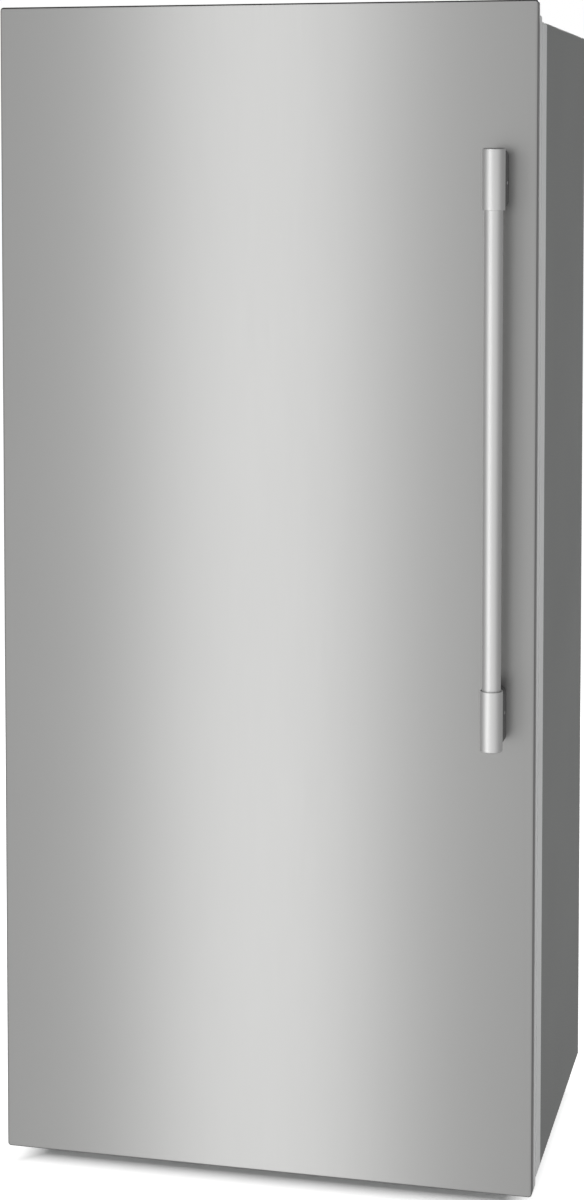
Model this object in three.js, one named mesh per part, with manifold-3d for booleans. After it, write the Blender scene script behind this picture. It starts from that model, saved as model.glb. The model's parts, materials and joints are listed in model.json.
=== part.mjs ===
// An upright freezer with one stainless door, in millimetres.
// The front faces -Y, +X is the handle side, +Z is up and the floor is Z = 0.
// Pieces are drawn with y = 0 on the door's front face; the last lines centre the depth on the origin.
import * as THREE from "three";
import { mergeVertices } from "three/addons/utils/BufferGeometryUtils.js";
import Module from "manifold-3d";

const wasm = await Module();
wasm.setup();

// ---- clearances and sheet ----
const GAP = 0.3; // between pieces that touch on the real object
const SHEET = 1.2; // folded steel sheet
const CUT = 1; // how far a cutter reaches past the face it opens

// ---- width, the same for the cabinet and the door that closes it ----
const CABINET_WIDTH = 838;
const DOOR_WIDTH = CABINET_WIDTH;

// ---- door ----
const DOOR_HEIGHT = 1802;
const DOOR_FLOOR_GAP = 27;
const SKIN_DEPTH = 18;
const SKIN_EDGE_RADIUS = 3;
const SKIN_CORNER_RADIUS = 5;
const SKIN_HEM = 12;
const HINGE_RECESS = 21; // how much taller the skin is than the section behind it
const DOOR_BACK_DEPTH = 23;
const DOOR_BACK_RADIUS = 4.5;
const FLANGE_LAP = 5; // how far the door's rear flange runs inside the gasket
const DOOR_GAP = 6; // between the closed door and the cabinet

// ---- cabinet ----
const CABINET_TOP_DROP = 29; // below the door's top edge
const CABINET_BOTTOM_RISE = 13.5; // above the door's bottom edge
const CABINET_CORNER_RADIUS = 5;
const FRAME_DEPTH = 48;
const WRAPPER_DEPTH = 484.7;
const WRAPPER_BOTTOM_FLANGE = 14;
const WRAPPER_REAR_FLANGE = 18;
const SIDE_WALL = 62;
const TOP_WALL = 65;
const FLOOR_WALL = 55.5;
const REAR_WALL = 50;
const LINER_SHEET = 2;
const LINER_RADIUS = 22;
const MACHINE_DEPTH = 190;
const MACHINE_HEIGHT = 204;
const STEP_WALL = 45; // foam between the machine compartment and the liner's step

// ---- inside ----
const LEDGE_WIDTH = 13;
const LEDGE_HEIGHT = 16;
const LEDGE_SETBACK = 76; // from the liner's front edge
const EVAPORATOR_DUCT = 75;
const COVER_SHEET = 3;
const DUCT_WIDTH = 240;
const DUCT_RISE = 12;
const SHELF_COUNT = 3;
const SHELF_FIRST_Z = 520;
const SHELF_PITCH = 385;
const SHELF_FRAME_HEIGHT = 13;
const SHELF_FRAME_WIDTH = 18;
const SHELF_FRONT_SETBACK = 116; // from the liner's front edge
const GLASS_THICKNESS = 4;
const DRAWER_SETBACK = 115;
const DRAWER_WALL = 3;
const DRAWER_FLANGE = 12;
const UPPER_DRAWER = { bottom: 306, height: 190, depth: 282 };
const LOWER_DRAWER = { bottom: 104, height: 178, depth: 172 };
const CONTROL_WIDTH = 380;
const CONTROL_DEPTH = 100;
const CONTROL_HEIGHT = 32;
const BUTTON_DIAMETER = 13;
const BUTTON_TRAVEL = 1.2;
const BUTTON_SPACING = 44;
const PLUNGER_DIAMETER = 8;
const PLUNGER_LENGTH = 36; // inside its socket with the door closed
const PLUNGER_X = 150;

// ---- door inside ----
const GASKET_WIDTH = 26;
const GASKET_RADIUS = 9;
const GASKET_INSET = 15; // from the cabinet opening's edge out to the gasket
const PLUG_CLEARANCE = 10; // from the liner's inner walls
const DIKE_WIDTH = 25;
const DIKE_DEPTH = 79; // behind the door's rear face
const DOOR_POCKET = 11; // depth of the panel between the dikes, behind the door's rear face
const DOOR_LINER_SHEET = 2;
const BIN_COUNT = 4;
const BIN_FIRST_Z = 150;
const BIN_PITCH = 385;
const BIN_HEIGHT = 105;
const BIN_BACK_HEIGHT = 60;
const BIN_DEPTH = 90;
const BIN_WALL = 3;
const BIN_HOOK = 5;

// ---- handle ----
const HANDLE_EDGE_INSET = 57; // from the door's right edge to the bar's axis
const HANDLE_REACH = 52; // from the door's face to the bar's axis
const HANDLE_TOP = 1584; // above the door's bottom edge
const HANDLE_LENGTH = 891;
const BAR_DIAMETER = 28;
const SLEEVE_DIAMETER = 34.2;
const SLEEVE_LENGTH = 91;
const SLEEVE_CLEARANCE = 0.7;
const SLEEVE_CLOSED = 8; // solid end of each sleeve
const SLEEVE_CHAMFER = 1.2;
const STANDOFF_WIDTH = 29;
const STANDOFF_HEIGHT = 87;
const STANDOFF_RADIUS = 11;

// ---- hinges ----
const HINGE_INSET = 12; // from the door's left edge to the hinge axis
const HINGE_SETBACK = 12; // from the door's rear face to the hinge axis
const PIN_DIAMETER = 8;
const BUSH_DIAMETER = 14;
const BUSH_FLANGE = 18;
const BUSH_LENGTH = 16;
const HINGE_RUNNING = 1.4; // between a bracket and the door, filled by the bush's flange
const BRACKET_SHEET = 3;
const BRACKET_WIDTH = 44;
const BRACKET_LENGTH = 96;
const HINGE_COVER_HEIGHT = 20;

// ---- base and machine compartment ----
const GRILLE_SETBACK = 68;
const GRILLE_SHEET = 3;
const GRILLE_FLOOR_GAP = 7;
const GRILLE_INSET = 22;
const GRILLE_SLOTS = 8;
const LEG_INSET = 50;
const LEG_SETBACK = 118;
const LEG_PAD_DIAMETER = 40;
const LEG_STUD_DIAMETER = 10;
const LEG_TOP = 36;
const MEMBER_WIDTH = 56;
const ROLLER_DIAMETER = 36;
const ROLLER_WIDTH = 22;
const ROLLER_INSET = 62;
const ROLLER_REAR = 40;
const AXLE_DIAMETER = 8;
const AXLE_CLEARANCE = 0.3;
const COMPRESSOR_INSET = 169; // from the cabinet's right side to the compressor's axis
const COMPRESSOR_DIAMETER = 146;
const COMPRESSOR_HEIGHT = 158;
const COMPRESSOR_RAIL = { halfLength: 95, halfWidth: 62, footX: 80, footY: 46 };
const TERMINAL_BOX = { rise: 40, height: 56, halfWidth: 24, reach: 16 };
const CONDENSER_INSET = 184; // from the cabinet's left side to the coil's middle
const CONDENSER_WIDTH = 210;
const CONDENSER_TUBE = 6;
const CONDENSER_PASSES = 4;
const CONDENSER_PITCH = 34;
const COIL_FINS = 2;
const FAN_DIAMETER = 120;
const FAN_BLADES = 5;
const CONDENSER_FAN_SPACING = 163; // from the coil's middle to the fan
const LOUVRES = 7;
const LOUVRE_LENGTH = 236;
const LOUVRE_INSET = 83; // from the cover's left edge to the first bank
const GLAND_SPACE = 148; // from the cover's right edge to the second bank, past the cord's gland
const PANEL_RISE = 4.2; // how far the pressed beads and louvres stand off the rear sheets
const BACK_BEADS = 3;
const TRAY_DEPTH = 116;
const TRAY_HEIGHT = 24;
const DRAIN_SPACING = 235; // from the condenser's middle
const DRAIN_RADIUS = 9;
const DRAIN_BORE = 6;
const DRAIN_COLLAR = 3;
const MOTOR_ARM = 88;
const GLAND_RADIUS = 11;
const GLAND_INSET = 60;
const GLAND_RISE = 40;
const FAN_HUB = 17;
const FAN_HALF = 9;
const FAN_CHORD = 34;
const SHAFT_RADIUS = 3;
const RETURN_SLOTS = 8;
const COIL_PASSES = 4;
const COIL_PITCH = 56;
const COIL_INSET = 112; // from the liner's side walls to the coil's end plates
const COIL_RISE = 66; // from the liner's step to the lowest pass
const COIL_TUBE_RADIUS = 4.5;
const FIN_MARGIN = 16; // of the fins, above and below the passes
const FIN_HALF = 24;
const FAN_RISE = 30; // from the coil's fins to the fan's tips
const HEATER_DROP = 30; // from the lowest pass to the heater
const HEATER_RADIUS = 4;
const HEATER_SPREAD = 13;
const TROUGH_OVERLAP = 20; // of the trough, past each end of the coil
const TROUGH_RIM = 22;
const TROUGH_SLOPE = 13;
const TROUGH_SHEET = 2;
const TROUGH_MOUTH = 16;

// ---- derived places, y from the door's front face and z from the floor ----
const doorHalf = DOOR_WIDTH / 2;
const doorBottom = DOOR_FLOOR_GAP;
const doorTop = doorBottom + DOOR_HEIGHT;
const doorBackTop = doorTop - HINGE_RECESS;
const doorRear = SKIN_DEPTH + DOOR_BACK_DEPTH;
const cabinetHalf = CABINET_WIDTH / 2;
const cabinetFront = doorRear + DOOR_GAP;
const cabinetTop = doorTop - CABINET_TOP_DROP;
const cabinetBottom = doorBottom + CABINET_BOTTOM_RISE;
const wrapperFront = cabinetFront + FRAME_DEPTH + GAP;
const wrapperRear = wrapperFront + WRAPPER_DEPTH;
const linerFront = cabinetFront + SHEET + GAP;
const linerRear = wrapperRear - REAR_WALL;
const cavityHalf = cabinetHalf - SIDE_WALL;
const cavityTop = cabinetTop - TOP_WALL;
const cavityBottom = cabinetBottom + FLOOR_WALL;
const panelBottom = cabinetBottom + SHEET + GAP; // the folded bottom panel lies on the wrapper's flanges
const machineFront = wrapperRear - MACHINE_DEPTH;
const machineTop = cabinetBottom + MACHINE_HEIGHT;
const stepFront = machineFront - STEP_WALL;
const stepTop = machineTop + STEP_WALL;
const coverFront = linerRear - EVAPORATOR_DUCT;
const hingeX = -doorHalf + HINGE_INSET;
const hingeY = doorRear - HINGE_SETBACK;
const handleX = doorHalf - HANDLE_EDGE_INSET;
const handleTop = doorBottom + HANDLE_TOP;
const plugHalf = cavityHalf - PLUG_CLEARANCE;
const plugBottom = cavityBottom + PLUG_CLEARANCE;
const plugTop = cavityTop - PLUG_CLEARANCE;
const dikeRear = doorRear + DIKE_DEPTH;
const pocketHalf = plugHalf - DIKE_WIDTH;
const controlFront = dikeRear + PLUG_CLEARANCE;
const machineMiddle = wrapperRear - MACHINE_DEPTH / 2;
const drainY = linerRear - EVAPORATOR_DUCT / 2;
const compressorX = cabinetHalf - COMPRESSOR_INSET;
const condenserX = -cabinetHalf + CONDENSER_INSET;
const drainX = condenserX + DRAIN_SPACING;
const glandX = cabinetHalf - GLAND_INSET;
const glandZ = cabinetBottom + GLAND_RISE;

// ---- finishes ----
const finish = (color, roughness, metalness) =>
  new THREE.MeshStandardMaterial({ color, roughness, metalness });
const stainless = finish(0xc9c9c8, 0.32, 1);
const silverPaint = finish(0xa6a7a7, 0.45, 0.4);
const darkPaint = finish(0x5c5e5d, 0.6, 0.2);
const zinc = finish(0x9a9c9e, 0.5, 0.8);
const whitePlastic = finish(0xe9eaea, 0.4, 0);
const greyPlastic = finish(0x6b6d6e, 0.5, 0);
const clearPlastic = finish(0xd8e2e6, 0.2, 0);
const blackPaint = finish(0x202122, 0.5, 0.2);
const rubber = finish(0x8d8f90, 0.8, 0);
const foam = finish(0xe3d7a5, 0.9, 0);
const glass = finish(0xc5d8d4, 0.05, 0);
const aluminium = finish(0xc4c8ca, 0.4, 0.9);

const freezer = new THREE.Group();

// Adds a solid to the object as one named mesh, placed and turned if it was drawn at the origin.
function add(name, solid, material, position = [0, 0, 0], rotation = [0, 0, 0]) {
  const mesh = solid.getMesh();
  const geometry = new THREE.BufferGeometry();
  geometry.setAttribute("position", new THREE.BufferAttribute(new Float32Array(mesh.vertProperties), 3));
  geometry.setIndex(new THREE.BufferAttribute(new Uint32Array(mesh.triVerts), 1));
  geometry.computeVertexNormals();
  const piece = new THREE.Mesh(geometry, material);
  piece.name = name;
  piece.position.set(...position);
  piece.rotation.set(...rotation);
  freezer.add(piece);
}

// ---- solids from three.js geometry ----
function toSolid(geometry) {
  geometry.deleteAttribute("normal");
  geometry.deleteAttribute("uv");
  const merged = mergeVertices(geometry, 1e-4);
  return new wasm.Manifold(
    new wasm.Mesh({
      numProp: 3,
      vertProperties: new Float32Array(merged.attributes.position.array),
      triVerts: new Uint32Array(merged.index.array),
    }),
  );
}

const join = (first, ...rest) => rest.reduce((sum, next) => sum.add(next), first);
const cut = (first, ...rest) => rest.reduce((left, next) => left.subtract(next), first);

function box(x0, x1, y0, y1, z0, z1) {
  const geometry = new THREE.BoxGeometry(x1 - x0, y1 - y0, z1 - z0);
  return toSolid(geometry.translate((x0 + x1) / 2, (y0 + y1) / 2, (z0 + z1) / 2));
}

// A shape drawn in x and z, as seen from the front, from depth y0 to y1.
function plate(shape, y0, y1, curveSegments = 2) {
  const geometry = new THREE.ExtrudeGeometry(shape, { depth: y1 - y0, bevelEnabled: false, curveSegments });
  return toSolid(geometry.rotateX(Math.PI / 2).translate(0, y1, 0));
}

// A shape drawn in y and z, as seen from the side, from x0 to x1.
function sideProfile(shape, x0, x1, curveSegments = 2) {
  const geometry = new THREE.ExtrudeGeometry(shape, { depth: x1 - x0, bevelEnabled: false, curveSegments });
  const turn = new THREE.Matrix4().makeBasis(
    new THREE.Vector3(0, 1, 0),
    new THREE.Vector3(0, 0, 1),
    new THREE.Vector3(1, 0, 0),
  );
  return toSolid(geometry.applyMatrix4(turn).translate(x0, 0, 0));
}

// A shape drawn in x and y, as seen from above, from z0 to z1.
function planProfile(shape, z0, z1, curveSegments = 2) {
  const geometry = new THREE.ExtrudeGeometry(shape, { depth: z1 - z0, bevelEnabled: false, curveSegments });
  return toSolid(geometry.translate(0, 0, z0));
}

// A plate whose front and rear edges are rounded, from depth y0 to y1.
function roundedPlate(shape, y0, y1, radius, segments = 2) {
  const geometry = new THREE.ExtrudeGeometry(shape, {
    depth: y1 - y0 - 2 * radius,
    bevelThickness: radius,
    bevelSize: radius,
    bevelOffset: -radius,
    bevelSegments: segments,
    curveSegments: segments,
  });
  return toSolid(geometry.rotateX(Math.PI / 2).translate(0, y1 - radius, 0));
}

// A solid of revolution: profile points are [radius, distance along the axis].
const AXES = {
  x: new THREE.Matrix4().makeRotationZ(-Math.PI / 2),
  y: new THREE.Matrix4(),
  z: new THREE.Matrix4().makeRotationX(Math.PI / 2),
};
function revolve(points, axis, [x, y, z], segments = 24) {
  const profile = points.map(([radius, along]) => new THREE.Vector2(radius, along));
  const geometry = new THREE.LatheGeometry(profile, segments).applyMatrix4(AXES[axis]);
  return toSolid(geometry.translate(x, y, z));
}

// A round bar along +axis from a start point.
const rod = (radius, length, axis, start, segments = 24) =>
  revolve([[0, 0], [radius, 0], [radius, length], [0, length]], axis, start, segments);

// A rectangle with rounded corners.
function rounded(x0, x1, z0, z1, radius) {
  const shape = new THREE.Shape();
  shape.absarc(x1 - radius, z0 + radius, radius, -Math.PI / 2, 0);
  shape.absarc(x1 - radius, z1 - radius, radius, 0, Math.PI / 2);
  shape.absarc(x0 + radius, z1 - radius, radius, Math.PI / 2, Math.PI);
  shape.absarc(x0 + radius, z0 + radius, radius, Math.PI, 1.5 * Math.PI);
  return shape;
}

function polygon(points) {
  return new THREE.Shape(points.map(([a, b]) => new THREE.Vector2(a, b)));
}

// An outline with rounded top corners and a square foot, inset all round.
function arch(inset) {
  const half = cabinetHalf - inset;
  const radius = CABINET_CORNER_RADIUS - inset / 2;
  const top = cabinetTop - inset;
  const shape = new THREE.Shape();
  shape.moveTo(-half, cabinetBottom + inset);
  shape.lineTo(half, cabinetBottom + inset);
  shape.absarc(half - radius, top - radius, radius, 0, Math.PI / 2);
  shape.absarc(-half + radius, top - radius, radius, Math.PI / 2, Math.PI);
  return shape;
}

// A tube along a smooth route.
function tube(points, radius, sides, steps) {
  const section = new THREE.Shape();
  section.absarc(0, 0, radius, 0, 2 * Math.PI);
  const corners = points.map(([x, y, z]) => new THREE.Vector3(x, y, z));
  const extrudePath = new THREE.CatmullRomCurve3(corners, false, "centripetal");
  const geometry = new THREE.ExtrudeGeometry(section, { steps, extrudePath, curveSegments: sides });
  return toSolid(geometry);
}

// ---- cabinet shell ----
function cabinetFrontFrame() {
  const rear = cabinetFront + FRAME_DEPTH;
  const block = plate(arch(0), cabinetFront, rear);
  const pocket = plate(arch(SHEET), cabinetFront + SHEET, rear + CUT);
  const opening = rounded(-cavityHalf, cavityHalf, cavityBottom, cavityTop, LINER_RADIUS);
  return cut(block, pocket, plate(opening, cabinetFront - CUT, cabinetFront + SHEET + CUT));
}

function cabinetWrapper() {
  const block = plate(arch(0), wrapperFront, wrapperRear);
  const pocket = plate(arch(SHEET), wrapperFront - CUT, wrapperRear - SHEET);
  const flangeHalf = cabinetHalf - WRAPPER_BOTTOM_FLANGE;
  const slot = box(
    -flangeHalf, flangeHalf,
    wrapperFront - CUT, wrapperRear + CUT,
    cabinetBottom - CUT, cabinetBottom + SHEET + CUT,
  );
  const rearHalf = cabinetHalf - WRAPPER_REAR_FLANGE;
  const rearOpening = box(
    -rearHalf, rearHalf,
    wrapperRear - SHEET - CUT, wrapperRear + CUT,
    cabinetBottom - CUT, cabinetTop - WRAPPER_REAR_FLANGE,
  );
  return cut(block, pocket, slot, rearOpening);
}

// One sheet: along the underside, up the front of the machine compartment and back over its top.
function bottomPanel() {
  const half = cabinetHalf - SHEET - GAP;
  const front = linerFront;
  const rear = wrapperRear - SHEET - GAP;
  const shape = polygon([
    [front, panelBottom],
    [machineFront, panelBottom],
    [machineFront, machineTop],
    [rear, machineTop],
    [rear, machineTop + SHEET],
    [machineFront - SHEET, machineTop + SHEET],
    [machineFront - SHEET, panelBottom + SHEET],
    [front, panelBottom + SHEET],
  ]);
  return cut(sideProfile(shape, -half, half), drainHole(DRAIN_RADIUS + GAP));
}

// The storage space grown outwards: an L seen from the side, with rounded corners in all three views.
function cavity(grow, front) {
  const radius = LINER_RADIUS + grow;
  const side = new THREE.Shape();
  side.moveTo(front, cavityBottom - grow);
  side.lineTo(stepFront + grow - radius, cavityBottom - grow);
  side.absarc(stepFront + grow - radius, cavityBottom - grow + radius, radius, -Math.PI / 2, 0);
  side.lineTo(stepFront + grow, stepTop - grow);
  side.absarc(linerRear + grow - radius, stepTop - grow + radius, radius, -Math.PI / 2, 0);
  side.absarc(linerRear + grow - radius, cavityTop + grow - radius, radius, 0, Math.PI / 2);
  side.lineTo(front, cavityTop + grow);
  const half = cavityHalf + grow;
  const seenFromSide = sideProfile(side, -half, half);
  const outline = rounded(-half, half, cavityBottom - grow, cavityTop + grow, radius);
  const plan = rounded(-half, half, front - 3 * radius, linerRear + grow, radius);
  const seenFromFront = plate(outline, front - CUT, linerRear + grow + CUT);
  const seenFromAbove = planProfile(plan, cavityBottom - grow - CUT, cavityTop + grow + CUT);
  return seenFromSide.intersect(seenFromFront).intersect(seenFromAbove);
}

const shelfZ = (index) => SHELF_FIRST_Z + index * SHELF_PITCH;

const drainHole = (radius) =>
  rod(radius, STEP_WALL + 3 * LINER_SHEET, "z", [drainX, drainY, machineTop - CUT], 12);

function cabinetInsulation() {
  const front = linerFront;
  const rear = wrapperRear - SHEET - GAP;
  const floor = panelBottom + SHEET + GAP;
  const block = plate(arch(SHEET + GAP), front, rear);
  const below = box(-cabinetHalf, cabinetHalf, front - CUT, rear + CUT, cabinetBottom, floor);
  const machine = box(
    -cabinetHalf, cabinetHalf,
    machineFront - SHEET - GAP, rear + CUT,
    cabinetBottom, machineTop + SHEET + GAP,
  );
  return cut(block, below, machine, cavity(LINER_SHEET + GAP, front - CUT), drainHole(DRAIN_RADIUS + GAP));
}

// A moulded ledge on a side wall, sloped underneath.
function ledge(side, top, front, rear) {
  const wall = cavityHalf + LINER_SHEET / 2;
  const shape = polygon([
    [side * wall, top],
    [side * (cavityHalf - LEDGE_WIDTH), top],
    [side * (cavityHalf - LEDGE_WIDTH), top - LEDGE_HEIGHT / 4],
    [side * wall, top - LEDGE_HEIGHT],
  ]);
  return plate(shape, front, rear);
}

const drawerLedgeTop = ({ bottom, height }) => bottom + height - DRAWER_FLANGE - GAP;

function cabinetLiner() {
  const shell = cut(cavity(LINER_SHEET, linerFront), cavity(0, linerFront - CUT));
  const front = linerFront + LEDGE_SETBACK;
  const ledges = [];
  for (const side of [-1, 1]) {
    for (let i = 0; i < SHELF_COUNT; i++) ledges.push(ledge(side, shelfZ(i) - GAP, front, coverFront - CUT));
    ledges.push(ledge(side, drawerLedgeTop(UPPER_DRAWER), front, coverFront - CUT));
    ledges.push(ledge(side, drawerLedgeTop(LOWER_DRAWER), front, stepFront));
  }
  return cut(join(shell, ...ledges), drainHole(DRAIN_RADIUS + GAP));
}

// The rear sheet, stiffened by pressed upright beads.
function backPanel() {
  const half = cabinetHalf - 3;
  const y0 = wrapperRear + GAP;
  const bottom = machineTop - 3;
  const top = cabinetTop - 3;
  const rise = PANEL_RISE;
  let panel = box(-half, half, y0, y0 + SHEET, bottom, top);
  for (let i = 0; i < BACK_BEADS; i++) {
    const x = -half + ((i + 0.5) * 2 * half) / BACK_BEADS;
    const bead = (inset) => roundedPlate(
      rounded(x - 22 + inset, x + 22 - inset, bottom + 60 + inset, top - 60 - inset, 21 - inset),
      y0 - rise, y0 + rise - inset, rise - 1 - inset, 1,
    );
    panel = cut(join(panel, bead(0)), bead(SHEET));
  }
  const inside = box(-cabinetHalf, cabinetHalf, y0 - 2 * rise, y0, cabinetBottom, cabinetTop);
  return cut(panel, inside);
}

// ---- base ----
function basePan() {
  const half = cabinetHalf - SHEET - GAP - 2;
  const front = machineFront + GAP;
  const rear = wrapperRear - SHEET - GAP;
  const z = panelBottom;
  const lip = 12;
  const pieces = [
    box(-half, half, front, rear, z, z + SHEET),
    box(-half, -half + SHEET, front, rear, z, z + lip),
    box(half - SHEET, half, front, rear, z, z + lip),
    box(-half, half, rear - SHEET, rear, z, z + lip),
  ];
  const cheekGap = ROLLER_WIDTH / 2 + 1;
  const y = wrapperRear - ROLLER_REAR;
  for (const side of [-1, 1]) {
    const x = side * (cabinetHalf - ROLLER_INSET);
    const cheek = polygon([
      [y - 22, z + SHEET / 2],
      [y - 7, ROLLER_DIAMETER / 2 - 7],
      [y + 7, ROLLER_DIAMETER / 2 - 7],
      [y + 22, z + SHEET / 2],
    ]);
    pieces.push(sideProfile(cheek, x - cheekGap - 2, x - cheekGap));
    pieces.push(sideProfile(cheek, x + cheekGap, x + cheekGap + 2));
    const axleHalf = cheekGap + 4;
    const axleStart = [x - axleHalf, y, ROLLER_DIAMETER / 2];
    pieces.push(rod(AXLE_DIAMETER / 2, 2 * axleHalf, "x", axleStart, 12));
  }
  return join(...pieces);
}

// Drawn about the X axis at the origin.
function roller() {
  const r = ROLLER_DIAMETER / 2;
  const bore = AXLE_DIAMETER / 2 + AXLE_CLEARANCE;
  const w = ROLLER_WIDTH / 2;
  const profile = [[bore, -w], [r - 2, -w], [r, 2 - w], [r, w - 2], [r - 2, w], [bore, w], [bore, -w]];
  return revolve(profile, "x", [0, 0, 0], 18);
}

// The channel under the front that holds the two legs.
function frontCrossmember() {
  const half = cabinetHalf - 12;
  const top = cabinetBottom - GAP;
  const y0 = LEG_SETBACK - MEMBER_WIDTH / 2;
  const lip = 14;
  const pieces = [
    box(-half, half, y0, y0 + MEMBER_WIDTH, top - BRACKET_SHEET, top),
    box(-half, half, y0, y0 + BRACKET_SHEET, top - lip, top),
    box(-half, half, y0 + MEMBER_WIDTH - BRACKET_SHEET, y0 + MEMBER_WIDTH, top - lip, top),
  ];
  for (const side of [-1, 1]) {
    const x = side * (cabinetHalf - LEG_INSET);
    pieces.push(rod(LEG_STUD_DIAMETER, lip, "z", [x, LEG_SETBACK, top - lip], 12));
  }
  let member = join(...pieces);
  for (const side of [-1, 1]) {
    const x = side * (cabinetHalf - LEG_INSET);
    const start = [x, LEG_SETBACK, top - 1.5 * lip];
    member = cut(member, rod(LEG_STUD_DIAMETER / 2 + GAP, 2 * lip, "z", start, 12));
  }
  return member;
}

// Drawn with its foot at the origin.
function levellingLeg() {
  const pad = LEG_PAD_DIAMETER / 2;
  const stud = LEG_STUD_DIAMETER / 2;
  const profile = [
    [0, 0], [pad - 2, 0], [pad, 2], [pad, 6], [stud + 4, 12], [stud + 4, 17],
    [stud, 17], [stud, LEG_TOP], [0, LEG_TOP],
  ];
  return revolve(profile, "z", [0, 0, 0], 16);
}

// The plinth grille: a plate with two rows of slots, lipped at its top.
function toeGrille() {
  const half = cabinetHalf - GRILLE_INSET;
  const top = cabinetBottom - GAP;
  const y = GRILLE_SETBACK;
  const front = plate(rounded(-half, half, GRILLE_FLOOR_GAP, top, 3), y, y + GRILLE_SHEET);
  const lip = box(-half + 3, half - 3, y, y + 12, top - GRILLE_SHEET, top);
  let grille = join(front, lip);
  const pitch = (2 * half - 40) / GRILLE_SLOTS;
  for (let i = 0; i < GRILLE_SLOTS; i++) {
    const x = -half + 20 + (i + 0.5) * pitch;
    for (const z of [GRILLE_FLOOR_GAP + 9, GRILLE_FLOOR_GAP + 19]) {
      const half = pitch / 2 - 4;
      grille = cut(grille, box(x - half, x + half, y - CUT, y + GRILLE_SHEET + CUT, z - 2.5, z + 2.5));
    }
  }
  return grille;
}

// ---- machine compartment ----
const machineFloor = panelBottom + SHEET;

function compressor() {
  const r = COMPRESSOR_DIAMETER / 2;
  const foot = machineFloor + GAP;
  const z0 = foot + 16;
  const h = COMPRESSOR_HEIGHT;
  const y = machineMiddle;
  const shell = revolve(
    [
      [0, 0], [r * 0.55, 3], [r * 0.9, 18], [r, 50], [r, h * 0.55], [r + 4, h * 0.55],
      [r + 4, h * 0.55 + 5], [r - 2, h * 0.55 + 5], [r - 4, h * 0.74], [r * 0.8, h * 0.91],
      [r * 0.4, h], [0, h],
    ],
    "z", [compressorX, y, z0], 18,
  );
  const { halfLength, halfWidth, footX, footY } = COMPRESSOR_RAIL;
  const railShape = rounded(
    compressorX - halfLength, compressorX + halfLength, y - halfWidth, y + halfWidth, 18,
  );
  const rail = planProfile(railShape, foot + 14, foot + 20, 1);
  const pieces = [shell, rail];
  for (const sx of [-1, 1]) {
    for (const sy of [-1, 1]) {
      const at = [compressorX + sx * footX, y + sy * footY, foot];
      pieces.push(revolve([[0, 0], [13, 0], [10, 7], [13, 14.5], [0, 14.5]], "z", at, 8));
    }
  }
  pieces.push(rod(4, 40, "z", [compressorX - 40, y - 30, z0 + h * 0.75], 8));
  pieces.push(rod(3, 44, "x", [compressorX - r - 22, y + 20, z0 + h * 0.4], 8));
  const cover = TERMINAL_BOX;
  pieces.push(box(
    compressorX + r - 10, compressorX + r + cover.reach, y - cover.halfWidth, y + cover.halfWidth,
    z0 + cover.rise, z0 + cover.rise + cover.height,
  ));
  return join(...pieces);
}

// A serpentine tube between two slotted side plates, with the drier in line at its outlet.
function condenserCoil() {
  const x0 = condenserX - CONDENSER_WIDTH / 2;
  const x1 = condenserX + CONDENSER_WIDTH / 2;
  const y = machineMiddle;
  const bottom = machineFloor + GAP;
  const first = bottom + TRAY_HEIGHT + 20;
  const pitch = CONDENSER_PITCH;
  const half = TRAY_DEPTH / 2 + 12;
  const r = CONDENSER_TUBE / 2;
  const pieces = [];
  for (let i = 0; i < CONDENSER_PASSES; i++) {
    const z = first + i * pitch;
    const side = i % 2 === 0 ? 1 : -1;
    const endX = condenserX + side * (CONDENSER_WIDTH / 2 + 4);
    pieces.push(rod(r, CONDENSER_WIDTH + 8, "x", [x0 - 4, y, z], 6));
    if (i < CONDENSER_PASSES - 1) pieces.push(returnBend(endX, y, z, pitch, side, r));
  }
  const plateTop = first + CONDENSER_PASSES * pitch;
  for (const x of [x0, x1 - 1.5]) pieces.push(box(x, x + 1.5, y - half, y + half, bottom, plateTop));
  for (const x of [x0, x1 - 20]) pieces.push(box(x, x + 20, y - half, y + half, bottom, bottom + 1.5));
  const drier = [[0, 0], [3, 0], [9, 12], [9, 80], [3, 92], [3, 100], [0, 100]];
  pieces.push(revolve(drier, "x", [x0 - 6, y - 30, plateTop - 14], 8));
  const trayHalf = TRAY_DEPTH / 2 + 1;
  const tray = box(x0 - 2, x1 + 2, y - trayHalf, y + trayHalf, 0, bottom + TRAY_HEIGHT + 2);
  return cut(join(...pieces), tray);
}

// A half ring that joins two passes of a coil, bulging along x.
function returnBend(x, y, z, pitch, side, radius) {
  const arc = [];
  const steps = 4;
  for (let i = 0; i <= steps; i++) {
    const angle = -Math.PI / 2 + (i * Math.PI) / steps;
    const reach = (side * Math.cos(angle) * pitch) / 2;
    arc.push([x - side * 0.5 + reach, y, z + pitch / 2 + (Math.sin(angle) * pitch) / 2]);
  }
  return tube(arc, radius * 0.98, 3, 4);
}

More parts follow.
